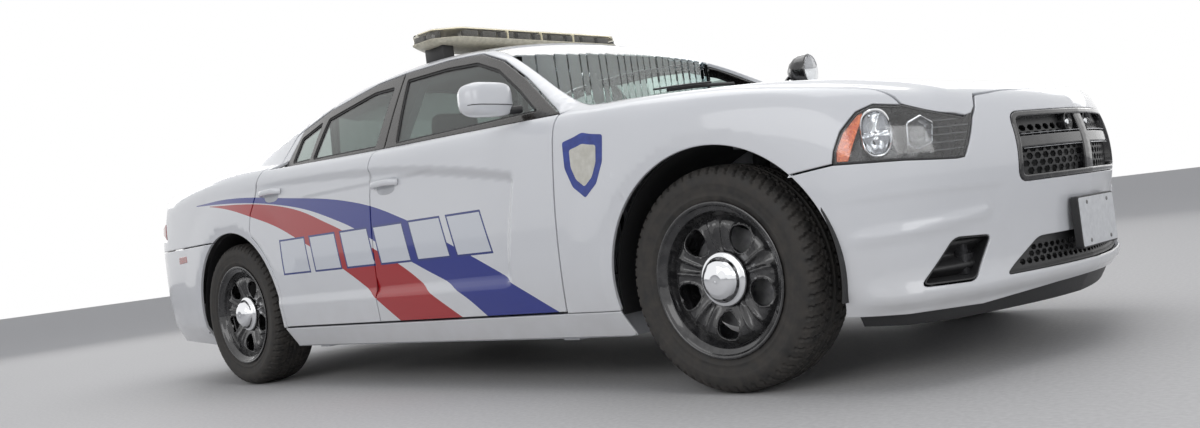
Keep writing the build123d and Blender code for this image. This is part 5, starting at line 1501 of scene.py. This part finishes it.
# Columns: name, centre, facing, outline, rings and finish of what stands in each lamp
LAMP_PARTS = [
    ("reflector", (2217, 806, 737), (0.6, 0.8, 0), oval(40, 64, 40, 2.5), bowl, mirror_chrome),
    ("bulb_shield", (2209, 795, 731), (0.6, 0.8, 0), oval(13, 13, 24), dome, mirror_chrome),
    ("projector_bezel", (2298, 704, 724), (0.74, 0.67, 0), six_sided, bowl, mirror_chrome),
    ("projector_lens", (2290, 697, 723), (0.74, 0.67, 0), oval(25, 25, 32), dome, lamp_clear),
    ("projector_core", (2276, 684, 723), (0.74, 0.67, 0), oval(24, 24, 32), dome[:5], fin_plastic),
    ("side_lamp", (2300, 672, 664), (0.8, 0.6, 0), oval(9, 7, 16), dome, mirror_chrome),
]
for part, centre, facing, outline, rings, finish in LAMP_PARTS:
    for side, mirror in SIDES:
        facing_cup(f"headlamp_{part}_{side}", centre, facing, outline, rings, finish, mirror)
FIN_SECTION = [(-18, -1.6), (3, -1.6), (4.5, 0), (3, 1.6), (-18, 1.6)]
for number, height in enumerate((668, 690, 712, 734, 754)):
    flat = np.stack([np.linspace(690 - 0.25 * (height - 668), 545, 22), np.full(22, float(height))], 1)
    path = reach(*ahead_rays(flat), lambda p: body_level(p) + 26)
    for side, mirror in SIDES:
        swept(f"headlamp_fin_{number}_{side}", path, FIN_SECTION, fin_plastic, "root",
              mirror=mirror)

# Grille: a glossy black frame in the bumper's opening with a level bar and an upright, a mesh of
# wide six-sided holes behind them, and two small round lamps. The low opening has a finer one.
lattice_plastic = two_toned("mesh_plastic", (0.018, 0.018, 0.019), 0.42, 0.0, (160, 0.35, 0.5, 0.08),
                            (0.012, 0.012, 0.013), (0.03, 0.03, 0.031))


def on_nose(points, level=nose_level):
    """Points given as (y, z) on the nose, in its flat map."""
    return nose_map(drawn(points, ahead_rays, level))


def nose_piece(name, outline, holes, finish, proud, wall, roll, spacing=12.0):
    return sheet_piece(name, outline, holes, nose_rays, finish, slot="trim_black", level=nose_level,
                       spacing=spacing, wall=wall, proud=proud, roll=roll)


SIX_CORNERS = ((-1, 0), (-0.5, -1), (0.5, -1), (1, 0), (0.5, 1), (-0.5, 1))


def mesh_sheet(name, opening, half_wide, half_high, pitch, rise, proud):
    """A sheet of six-sided holes in alternating rows, inside an opening's loop of (y, z)."""
    edge = inward(turned_left(np.array(opening)), half_wide * 0.4)
    holes = []
    low, high = edge.min(0), edge.max(0)
    for row, z in enumerate(np.arange(low[1] + half_high, high[1], rise)):
        for y in np.arange(-14 * pitch + pitch / 2 * (row % 2), 14.6 * pitch, pitch):
            hexagon = np.array([(y + across * half_wide, z + up * half_high) for across, up in SIX_CORNERS])
            if inside_of(hexagon, edge).all():
                holes.append(on_nose(hexagon))
    return nose_piece(name, on_nose(opening), holes, lattice_plastic, proud, 5.0, 0.9, 60.0)


grille_edge = turned_left(np.array(along(rounded(GRILLE, 42), 10)))
grille_frame = nose_piece("grille_frame", on_nose(inward(grille_edge, 1.5)),
                          [on_nose(inward(grille_edge, 19))], gloss_black, 3.0,
                          34.0, 5.0)
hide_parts("grilles")
nose_piece("grille_bar", on_nose(along([(-392, 686), (392, 686), (396, 648), (-396, 648)], 14)), [],
           gloss_black, -5.0, 24.0, 5.0)
nose_piece("grille_upright", on_nose(along([(-31, 750), (31, 750), (31, 556), (-31, 556)], 14)), [],
           gloss_black, -3.0, 26.0, 5.0)
mesh_sheet("grille_mesh", inward(grille_edge, 12), 17, 9.5, 40, 23, -22.0)
low_edge = turned_left(np.array(along(rounded(LOW_GRILLE, 26), 10)))
mesh_sheet("low_grille_mesh", inward(low_edge, 1.5), 13, 7.5, 31, 18, -14.0)
nose_piece("grille_back", on_nose(inward(grille_edge, 8)), [], black_plastic, -84.0, 3.0, 1.0, 40.0)
nose_piece("low_grille_back", on_nose(inward(low_edge, 1.5)), [], black_plastic, -70.0, 3.0, 1.0, 40.0)
for name, edge in (("grille_duct", inward(grille_edge, 8)), ("low_grille_duct", inward(low_edge, 1.5))):
    points, faces = rim_wall(on_nose(edge), nose_rays, lambda p: nose_level(p) + 12,
                             lambda p: nose_level(p) + 80, 3.0)
    piece(name, points, faces, black_plastic, "root")
edge_steel = two_toned("dark_bright_edge", (0.4, 0.41, 0.43), 0.22, 1.0, (70, 0.16, 0.3), (0.32, 0.33, 0.35),
                       (0.5, 0.51, 0.53))
for name, height in (("grille_line_high", 689), ("grille_line_low", 645)):
    for side, y0, y1 in (("left", 34, 362), ("right", -362, -34)):
        path = reach(*ahead_rays(np.stack([np.linspace(y0, y1, 26), np.full(26, float(height))], 1)),
                     nose_level)
        swept(f"{name}_{side}", path + np.array([-6.0, 0, 0]), oval(3, 1.6, 8), edge_steel, "root")
for side, y in (("right", -81), ("left", 81)):
    centre = reach(*ahead_rays(np.array([(float(y), 717.0)])), nose_level)[0] - np.array([10.0, 0, 0])
    facing_cup(f"grille_lamp_ring_{side}", centre, (1, 0, 0), oval(34, 34, 40),
               [(0.2, -30), (0.9, -28), (1.0, -6), (0.98, 2), (0.9, 4), (0.82, 0), (0.72, -10), (0.45, -16),
                (0.05, -17)],
               gloss_black)
    facing_cup(f"grille_lamp_lens_{side}", centre - np.array([4.0, 0, 0]), (1, 0, 0), oval(15, 15, 28), dome,
               lamp_clear)
    facing_cup(f"grille_lamp_core_{side}", centre - np.array([10.0, 0, 0]), (1, 0, 0), oval(13, 13, 28),
               dome[:6], mirror_chrome)

# Side recesses in the bumper: pockets moulded in black plastic, with walls that run in from the
# skin and a ribbed back.
recess_loop = turned_left(np.array(along(rounded(RECESS, 26), 10)))
for side, mirror in SIDES:
    points, faces = rim_wall(on_nose(inward(recess_loop, 1.5)), nose_rays, lambda p: nose_level(p) + 5,
                             lambda p: nose_level(p) + 66, 3.0)
    piece(f"recess_wall_{side}", points, faces, black_plastic, "root", mirror=mirror)
skins("recess_back", [None, None], on_nose(inward(recess_loop, 2.0)), [], nose_rays, lattice_plastic,
      slot="trim_black",
      level=lambda p: nose_level(p) + 44 + 18 * np.sin(p[..., 2] / 11.0), spacing=9.0, wall=3.0)

# Number plates: blank pressed sheets in white paint on black plastic holders, each held by four
# screws, one on the front bumper and one on the trunk lid.
plate_white = two_toned("plate_white", (0.78, 0.79, 0.8), 0.35, 0.0, (45, 0.3, 0.45, 0.06), (0.7, 0.71, 0.72),
                        (0.83, 0.84, 0.85))
screw_steel = two_toned("screw_steel", (0.2, 0.2, 0.2), 0.4, 1.0, (300, 0.3, 0.55), (0.1, 0.1, 0.1),
                        (0.32, 0.32, 0.32))


def flat_block(outline, depth, x, z, sign, name, finish, body, bevel=1.0):
    """A flat upright piece that faces forward or back, with a small bevel."""
    outline = np.array(outline, float)
    ring = turned_left(outline)
    inner = inward(ring, bevel)
    rows = [(inner, 0.0), (ring, bevel), (ring, depth)]
    points = np.concatenate([np.stack([np.full(len(r), x - sign * d), sign * r[:, 0], z + r[:, 1]], 1)
                             for r, d in rows])
    count = len(ring)
    faces = [(r * count + (k + 1) % count, r * count + k, (r + 1) * count + k,
              (r + 1) * count + (k + 1) % count)
             for r in range(2) for k in range(count)]
    faces += [tuple(range(count)), tuple(range(2 * count, 3 * count))[::-1]]
    return piece(name, points, faces, finish, body, sharp=25.0)


def box_outline(half_wide, half_high, radius):
    return along(rounded([(-half_wide, -half_high), (half_wide, -half_high), (half_wide, half_high),
                          (-half_wide, half_high)],
                         radius, 5), 12)


for end, x, z, sign, body in (("front", 2513, 398, 1, "root"), ("rear", -2508, 855, -1, "trunk_lid")):
    flat_block(box_outline(152, 76, 9), 2.0, x, z, sign, f"{end}_plate", plate_white, body, 0.6)
    flat_block(box_outline(157, 81, 10), 22.0, x - sign * 2.2, z, sign, f"{end}_plate_holder", black_plastic,
               body, 1.5)
    flat_block(box_outline(141, 66, 6), 0.8, x + sign * 0.5, z, sign, f"{end}_plate_field", plate_white, body,
               0.3)
    for number, (y, up) in enumerate(((-89, 60), (89, 60), (-89, -60), (89, -60))):
        screw = oval(6.5, 6.5, 18) + np.array([y, up])
        flat_block(screw, 5.0, x + sign * 2.6, z, sign, f"{end}_plate_screw_{number}", screw_steel, body, 1.2)

# Door mirrors: a rounded shell in body enamel with a black parting line low down, a silvered glass
# behind, and a foot of black plastic on the door.
MIRROR_CENTRE = np.array([800.0, 1002.0, 1082.0])
MIRROR_HALF = np.array([54.0, 116.0, 62.0])
LINE_Z, SHELL_ROUND, SHELL_ROWS = 1058.0, 44, 30
mirror_silver = two_toned("mirror_glass", (0.75, 0.78, 0.8), 0.02, 1.0, (5, 0.02, 0.05), (0.7, 0.73, 0.75),
                          (0.8, 0.83, 0.85))


def mirror_shell(out):
    """The section of the shell at a distance out, as points round it."""
    fall = (1 - abs(out) ** 4.5) ** (1 / 3.2)
    ring = oval(1, 1, SHELL_ROUND, 3.6)
    lean = 0.16 * (1 - out)
    x = ring[:, 0] * (0.72 + 0.28 * fall) * fall - np.maximum(ring[:, 0], 0) * lean
    z = ring[:, 1] * (0.8 + 0.2 * fall) * fall
    y = np.full(SHELL_ROUND, out * MIRROR_HALF[1])
    return np.stack([x * MIRROR_HALF[0], y, z * MIRROR_HALF[2]], 1) + MIRROR_CENTRE


def on_parting_line(out):
    """The point of a section nearest to the parting line's height, on the shell's front."""
    ring = mirror_shell(out)
    return ring[np.argmin(np.abs(ring[:, 2] - LINE_Z) - 50 * (ring[:, 0] > MIRROR_CENTRE[0]))]


shell = np.concatenate([mirror_shell(out) for out in np.sin(np.linspace(-1.52, 1.52, SHELL_ROWS))])
n, rows = SHELL_ROUND, SHELL_ROWS
shell_faces = [face[::-1] for face in ring_faces(rows, n)]
shell_faces += [tuple(range(n)), tuple(range((rows - 1) * n, rows * n))[::-1]]
front = np.array([on_parting_line(out) for out in np.linspace(-0.9, 0.97, 26)])
parting = np.stack([front[:, 0] + 0.3, front[:, 1], np.full(26, LINE_Z)], 1)
n = 40
glass = oval(96, 50, n, 4.0)
back = np.stack([np.full(n, 748.5), MIRROR_CENTRE[1] + glass[:, 0], MIRROR_CENTRE[2] + glass[:, 1]], 1)
mirror_points = np.concatenate([back, back + [7.0, 0, 0]])
mirror_faces = ring_faces(2, n) + [tuple(range(n))[::-1], tuple(range(n, 2 * n))]
foot = np.array([(822, 868, 1042), (812, 900, 1040), (804, 925, 1044), (800, 950, 1050)])
for side, mirror in SIDES:
    body = f"front_door_{side}"
    made = piece(f"mirror_shell_{side}", shell, shell_faces, body_paint, body, sharp=50.0,
                 mirror=mirror)
    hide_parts(f"mirror_{side}")
    swept(f"mirror_line_{side}", parting, oval(1.6, 1.6, 8), black_plastic, body, mirror=mirror)
    piece(f"mirror_face_{side}", mirror_points, mirror_faces, mirror_silver, body, mirror=mirror)
    swept(f"mirror_foot_{side}", foot, oval(26, 15, 20, 3.0), black_plastic, body,
          mirror=mirror)

# Door handles: a moulded pull in body enamel that bows out, one on each door, over a grey oval disc
# a little proud of the skin. The disc's grey is painted shade for the shadowed recess behind the pull.
# Columns: door, rear and front end of the pull, height
HANDLE_SPANS = [("front", -92, 82, 870), ("rear", -1009, -835, 938)]
for end, x0, x1, height in HANDLE_SPANS:
    # Painted shade: a grey sheet on the skin where the recess under the pull lies in shadow, not a recess.
    shade_disc = oval(1, 1, 40, 2.6) * np.array([(x1 - x0) * 0.36, 29]) + np.array([(x0 + x1) / 2, height - 20])
    skins(f"{end}_handle_cup", [None, None], on_side(shade_disc), [], side_rays, inner_paint,
          bodies=(f"{end}_door_left", f"{end}_door_right"), slot="trim_black", wall=4.0, proud=0.9, roll=0.8)
    t = np.linspace(-1, 1, 26)
    path = reach(*flat_rays(np.stack([(x0 + x1) / 2 + t * (x1 - x0) / 2, height - 4 * t * t], 1)))
    path = path + np.array([0, 1.0, 0]) * (2 + 26 * (1 - np.abs(t) ** 5))[:, None]
    for side, mirror in SIDES:
        swept(f"{end}_handle_{side}", path, oval(9, 13, 20, 2.6), body_paint, f"{end}_door_{side}",
              mirror=mirror)

# Rear lamps: lenses moulded in red plastic on the tail's corners and the trunk lid, and side markers
# behind the rear wheels. A black mesh fills the rear bumper's opening.
red_lens, shader, tree = material("red_lens", (0.35, 0.004, 0.006), 0.12)
shader.inputs["Coat Weight"].default_value = 0.7
ribs = grain(tree, shader, 120, 0.1, 0.2, 0.25, 0.001)
tinted(tree, shader, ribs, (0.22, 0.002, 0.003), (0.5, 0.012, 0.012))
marker = along(rounded([(-2016, 660), (-1899, 664), (-1903, 699), (-2014, 697)], 6), 8)
skins("side_marker", [None, None], on_side(marker), [], side_rays, red_lens, slot="tail_lens",
      spacing=10.0, wall=5.0, proud=1.6, roll=1.5)
tail_loop = joined(drawn(line([(-2210, 806), (-2224, 900)]), flat_rays),
                   drawn(line([(694, 900), (697, 806)]), astern_rays))
tail_loop = turned_left(tail_map(tail_loop))
skins("tail_lamp", [("tail_lamps",), None], inward(tail_loop, 2.0), [], tail_rays, red_lens, slot="tail_lens",
      wall=10.0,
      proud=0.5, roll=3.0)
lid_lens = inward(turned_left(lid_map(drawn(along(rounded(LID_LAMP, 18), 12), astern_rays))), 2.0)
skins("lid_lamp", [None, None], lid_lens, [], lid_rays, red_lens, bodies=("trunk_lid", "trunk_lid"),
      slot="tail_lens",
      level=lid_level, wall=8.0, roll=3.0)
skins("low_mesh", [None, None], tail_map(drawn(along(rounded(REAR_LOW, 22), 14), astern_rays)), [], tail_rays,
      lattice_plastic,
      slot="trim_black", wall=4.0, proud=-14.0)

# Light bar: a shallow tray and a lid of ivory plastic under a clear moulded cover, on two black
# feet. Inside stand two rows of dark lamp modules, two more at each end, and three dividers.
BAR_X, BAR_HALF, BAR_DEPTH, BAR_CUT = -40.0, 608.0, 148.0, 105.0
bar_lens, shader, tree = glazing("bar_cover", (0.86, 0.83, 0.72), 0.12)
module_black = two_toned("module_black", (0.02, 0.02, 0.022), 0.3, 0.0, (260, 0.25, 0.5, 0.2, 0.0006),
                         (0.012, 0.012, 0.014), (0.06, 0.06, 0.066))
ivory = two_toned("ivory_shell", (0.62, 0.58, 0.46), 0.4, 0.0, (60, 0.35, 0.5, 0.08), (0.5, 0.47, 0.37),
                  (0.7, 0.66, 0.54))


def bar_ring(grow):
    half, depth = BAR_HALF - grow, BAR_DEPTH - grow
    corner = [(depth, half - BAR_CUT), (depth - 72, half), (-depth + 72, half), (-depth, half - BAR_CUT)]
    outline = along(rounded(corner + [(-x, -y) for x, y in corner], 16), 26)
    return np.array(outline) + np.array([BAR_X, 0])


def stacked(name, rings, finish):
    """A closed form of level rings. Columns: how far each is inside the bar's outline, and z."""
    loops = [np.concatenate([bar_ring(grow), np.full((len(bar_ring(grow)), 1), z)], 1) for grow, z in rings]
    count = min(len(loop) for loop in loops)
    loops = [loop[np.linspace(0, len(loop) - 1, count).round().astype(int)] for loop in loops]
    faces = ring_faces(len(loops), count)
    faces += [tuple(range(count))[::-1], tuple(range((len(loops) - 1) * count, len(loops) * count))]
    if np.cross(*(loops[0][[1, 2]] - loops[0][[0, 1]])[:, :2]) < 0:
        faces = [face[::-1] for face in faces]
    return piece(name, np.concatenate(loops), faces, finish, "root")


tray = stacked("light_bar_tray", [(46, 1462), (12, 1470), (2, 1480), (0, 1486), (3, 1489)], ivory)
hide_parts("light_bar_base")
cover = stacked("light_bar_cover", [(4, 1489.5), (3, 1518), (8, 1530), (22, 1537), (60, 1541)], bar_lens)
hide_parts("light_bar_lens")
stacked("light_bar_lid", [(20, 1529), (24, 1533), (60, 1537)], ivory)


def block(name, x, y, z, finish, body="root", slot="trim_black", edge=3.0, mirror=False):
    """A box with bevelled edges; x, y and z are its spans."""
    bm = bmesh.new()
    bmesh.ops.create_cube(bm, size=1.0)
    for vert in bm.verts:
        vert.co = [(low + high) / 2 + c * (high - low) for c, (low, high) in zip(vert.co, (x, y, z))]
    bmesh.ops.bevel(bm, geom=list(bm.edges), offset=edge, segments=2, affect="EDGES", profile=0.5)
    bm.verts.ensure_lookup_table()
    verts = [tuple(vert.co) for vert in bm.verts]
    faces = [[vert.index for vert in face.verts] for face in bm.faces]
    bm.free()
    return piece(name, verts, faces, finish, body, mirror=mirror)


for row, x in (("front", BAR_X + 122), ("rear", BAR_X - 122)):
    for number, y in enumerate(np.linspace(-430, 430, 9)):
        block(f"light_bar_module_{row}_{number}", (x - 12, x + 12), (y - 40, y + 40), (1492, 1520),
              module_black, edge=2.0)
for side, mirror in SIDES:
    for number, x in enumerate((BAR_X - 44, BAR_X + 44)):
        block(f"light_bar_end_{number}_{side}", (x - 36, x + 36), (562, 586), (1492, 1520), module_black,
              edge=2.0, mirror=mirror)
    block(f"light_bar_foot_{side}", (BAR_X - 66, BAR_X + 66), (484, 548), (1398, 1468), black_plastic,
          edge=6.0, mirror=mirror)
for number, y in enumerate((-215, 0, 215)):
    block(f"light_bar_divider_{number}", (BAR_X - 140, BAR_X + 140), (y - 4, y + 4), (1490, 1528), ivory,
          edge=1.0)

# Spot lamp on the left pillar: a gloss black pot with a chromed bowl, whose edge shows as a rim, a
# clear lens, and an arm to the pillar.
spot_facing = np.array([1.0, 0.1, 0.0])
spot_centre = np.array([925.0, 892.0, 1196.0])
spot = facing_cup("spot_lamp_shell", spot_centre, spot_facing, oval(76, 76, 56),
                  [(0.3, -54), (0.5, -48), (0.76, -30), (0.95, -6), (1.0, 14), (1.0, 56), (0.94, 60),
                   (0.9, 50), (0.5, 30), (0.05, 22)],
                  gloss_black)
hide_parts("spot_lamp")
facing_cup("spot_lamp_bowl", spot_centre, spot_facing, oval(68, 68, 56),
           [(0.1, 22), (0.7, 34), (0.98, 55), (1.04, 60), (0.94, 58), (0.6, 38), (0.08, 27)], mirror_chrome)
facing_cup("spot_lamp_lens", spot_centre, spot_facing, oval(68, 68, 56),
           [(0.99, 54), (0.98, 58), (0.6, 61), (0.06, 62)], lamp_clear)
spot_arm = np.array([(882, 886, 1188), (872, 862, 1170), (868, 838, 1150), (866, 820, 1136)], float)
swept("spot_lamp_arm", spot_arm, oval(9, 9, 16), gloss_black, "root")

# Fender shields: two thin plain foils on each front fender, a pale one laid over a larger blue
# one.
shield_blue = two_toned("shield_blue", (0.03, 0.06, 0.3), 0.35, 0.0, (40, 0.3, 0.42), (0.025, 0.045, 0.25),
                        (0.045, 0.08, 0.36))
shield_pale = two_toned("shield_pale", (0.7, 0.68, 0.6), 0.35, 0.0, (40, 0.3, 0.42), (0.62, 0.6, 0.52),
                        (0.76, 0.74, 0.67))
SHIELD = [(-1, 0.82), (-0.45, 0.9), (0, 1.0), (0.45, 0.9), (1, 0.82), (0.96, 0.0), (0.62, -0.62), (0, -1.0),
          (-0.62, -0.62), (-0.96, 0.0)]
for name, share, finish, proud in (("shield_field", 1.0, shield_blue, 0.9),
                                   ("shield_centre", 0.66, shield_pale, 1.6)):
    corners = [(x * 96 * share + 1184, z * 112 * share + 789) for x, z in SHIELD]
    outline = np.array(along(rounded(corners, 10), 8))
    skins(name, [None, None], on_side(outline), [], side_rays, finish, spacing=12.0, wall=0.6, proud=proud,
          roll=0.3)

# Seats: padded cushions, backs, bolsters and headrests in dark cloth, with sewn channels. The front
# ones stand on steel pans and rails.
seat_cloth = two_toned("seat_cloth", (0.05, 0.05, 0.055), 0.85, 0.0, (900, 0.75, 0.95, 0.35, 0.0006),
                       (0.025, 0.025, 0.028), (0.085, 0.085, 0.092))
seat_steel = two_toned("painted_frame_steel", (0.04, 0.04, 0.042), 0.5, 0.5, (90, 0.4, 0.6, 0.1),
                       (0.025, 0.025, 0.027), (0.07, 0.07, 0.075))


PAD_STEPS, PAD_POWER = 17, 4.5      # points along each edge, and how square the cushion is
CHANNEL_DEEP, CHANNEL_WIDE = 0.13, 0.035


def pad(name, centre, half, lean=0.0, channels=(), crown=0.12, mirror=False):
    """A crowned cushion: a rounded box, its sides pulled in between the corners, with channels."""
    steps = np.linspace(-1, 1, PAD_STEPS)
    number_of, points, faces = {}, [], []
    for axis in range(3):
        for sign in (-1, 1):
            others = [k for k in range(3) if k != axis]
            index = np.empty((PAD_STEPS, PAD_STEPS), int)
            for i, u in enumerate(steps):
                for j, v in enumerate(steps):
                    p = np.zeros(3)
                    p[axis], p[others[0]], p[others[1]] = sign, u, v
                    key = tuple(np.round(p, 5))
                    if key not in number_of:
                        number_of[key] = len(points)
                        points.append(p)
                    index[i, j] = number_of[key]
            for i in range(PAD_STEPS - 1):
                for j in range(PAD_STEPS - 1):
                    quad = (index[i, j], index[i + 1, j], index[i + 1, j + 1], index[i, j + 1])
                    faces.append(quad if (sign > 0) != (axis == 1) else quad[::-1])
    p = np.array(points)
    form = p / (np.sum(np.abs(p) ** PAD_POWER, axis=1, keepdims=True) ** (1 / PAD_POWER))
    crowned = 1 + crown * (1 - form[:, 0] ** 2) * (1 - form[:, 1] ** 2)
    shaped = form.copy()
    shaped[:, 2] *= crowned
    shaped[:, 1] *= 1 - 0.035 * (1 - form[:, 0] ** 2)
    for place in channels:
        seam = np.exp(-((form[:, 1] - place) / CHANNEL_WIDE) ** 2)
        shaped[:, 2] -= np.sign(form[:, 2]) * CHANNEL_DEEP * seam
    shaped = shaped * np.array(half)
    c, s = math.cos(lean), math.sin(lean)
    turned = np.stack([shaped[:, 0] * c + shaped[:, 2] * s, shaped[:, 1],
                       -shaped[:, 0] * s + shaped[:, 2] * c], 1)
    made = piece(name, turned + np.array(centre), faces, seat_cloth, "root", sharp=0,
                 mirror=mirror)
    return made


# Columns: name, centre, half sizes across its own length, width and thickness, lean, channels
FRONT_PADS = [
    ("base", (300, 375, 404), (250, 205, 52), 0.06, (-0.45, 0.0, 0.45)),
    ("base_bolster_in", (290, 170, 415), (225, 38, 46), 0.06, ()),
    ("base_bolster_out", (290, 580, 415), (225, 30, 46), 0.06, ()),
    ("back", (-66, 375, 728), (252, 190, 52), -1.31, (-0.45, 0.0, 0.45)),
    ("headrest", (-172, 375, 1104), (82, 124, 42), -1.4, ()),
]
REAR_PADS = [
    ("bench", (-845, 0, 400), (205, 630, 52), -0.08, (-0.36, 0.36)),
    ("back", (-1112, 0, 730), (230, 630, 42), -1.27, (-0.36, 0.36)),
]
for part, centre, half, lean, channels in FRONT_PADS:
    for side, mirror in SIDES:
        made = pad(f"front_seat_{part}_{side}", centre, half, lean, channels, mirror=mirror)
        if part == "base" and side == "left":
            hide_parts("front_seats")
for part, centre, half, lean, channels in REAR_PADS:
    made = pad(f"rear_seat_{part}", centre, half, lean, channels)
    if part == "bench":
        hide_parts("rear_seat")
for side, mirror in SIDES:
    for number, y in enumerate((172, 578)):
        block(f"front_seat_rail_{number}_{side}", (40, 470), (y - 13, y + 13), (228, 348), seat_steel,
              mirror=mirror)
    block(f"front_seat_pan_{side}", (50, 520), (160, 590), (338, 356), seat_steel, mirror=mirror)
    for number, y in enumerate((315, 435)):
        post = np.array([(-168, y, 955), (-172, y, 1060)], float)
        swept(f"headrest_post_{number}_{side}", post, oval(7, 7, 16), edge_steel, "root",
              up=(0, 1, 0), mirror=mirror)

# Engine bay structure: rails and side walls of painted steel, the radiator in black plastic, and
# the steel beam behind the bumper, which stops inside the bumper's curve.
bay_paint = two_toned("bay_paint", (0.55, 0.56, 0.58), 0.5, 0.0, (14, 0.4, 0.65, 0.1), (0.4, 0.41, 0.43),
                      (0.62, 0.63, 0.65))
beam = block("bumper_beam", (2340, 2388), (-400, 400), (430, 530), seat_steel, slot="body_paint", edge=8.0)
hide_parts("engine_bay_frame")
block("radiator_core", (2268, 2300), (-380, 380), (356, 740), black_plastic, slot="body_paint")
block("radiator_foot", (2296, 2330), (-590, 590), (300, 360), seat_steel, slot="body_paint")
block("radiator_top", (2296, 2330), (-560, 560), (735, 768), seat_steel, slot="body_paint")
for side, mirror in SIDES:
    block(f"bay_rail_{side}", (1163, 2350), (400, 470), (331, 440), bay_paint, slot="body_paint", edge=6.0,
          mirror=mirror)
    block(f"bay_wall_{side}", (1163, 2290), (463, 474), (438, 780), bay_paint, slot="body_paint", edge=2.0,
          mirror=mirror)
    block(f"radiator_side_{side}", (2298, 2328), (560, 588), (340, 755), seat_steel, slot="body_paint",
          mirror=mirror)
    block(f"strut_shelf_{side}", (1580, 1758), (470, 585), (800, 838), bay_paint, slot="body_paint",
          mirror=mirror)
    tower = np.array([(1668.5, 586, 773), (1668.5, 586, 815), (1668.5, 586, 846)], float)
    swept(f"strut_tower_{side}", tower, oval(92, 92, 40), bay_paint, "root", up=(0, 1, 0),
          mirror=mirror)

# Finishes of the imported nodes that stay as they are: cast metal, under seal, pipe steel, vinyl and
# the inner panels' paint. Each covers its whole node.
cast_metal = two_toned("cast_metal", (0.3, 0.3, 0.31), 0.55, 0.9, (40, 0.45, 0.7, 0.2), (0.2, 0.2, 0.21),
                       (0.42, 0.42, 0.43))
under_seal = two_toned("underbody_coat", (0.035, 0.035, 0.035), 0.8, 0.0, (60, 0.7, 0.9, 0.3, 0.002),
                       (0.02, 0.02, 0.02), (0.06, 0.06, 0.058))
pipe_steel = two_toned("pipe_steel", (0.35, 0.33, 0.3), 0.4, 1.0, (25, 0.3, 0.6, 0.1), (0.22, 0.19, 0.16),
                       (0.5, 0.48, 0.45))
dash_vinyl = two_toned("dash_vinyl", (0.04, 0.04, 0.042), 0.6, 0.0, (400, 0.5, 0.68, 0.25, 0.0006),
                       (0.025, 0.025, 0.027), (0.06, 0.06, 0.063))
NODE_LOOKS = {
    "side_frames": inner_paint, "floor_pan": under_seal, "rear_shelf": dash_vinyl, "firewall": inner_paint,
    "front_suspension": under_seal, "rear_suspension": under_seal, "engine": cast_metal,
    "driveshaft": cast_metal,
    "exhaust": pipe_steel, "dashboard": dash_vinyl, "steering_wheel": dash_vinyl, "knuckle_left": cast_metal,
    "knuckle_right": cast_metal,
}
for name, look in NODE_LOOKS.items():
    for slot in nodes[name].material_slots:
        slot.material = look
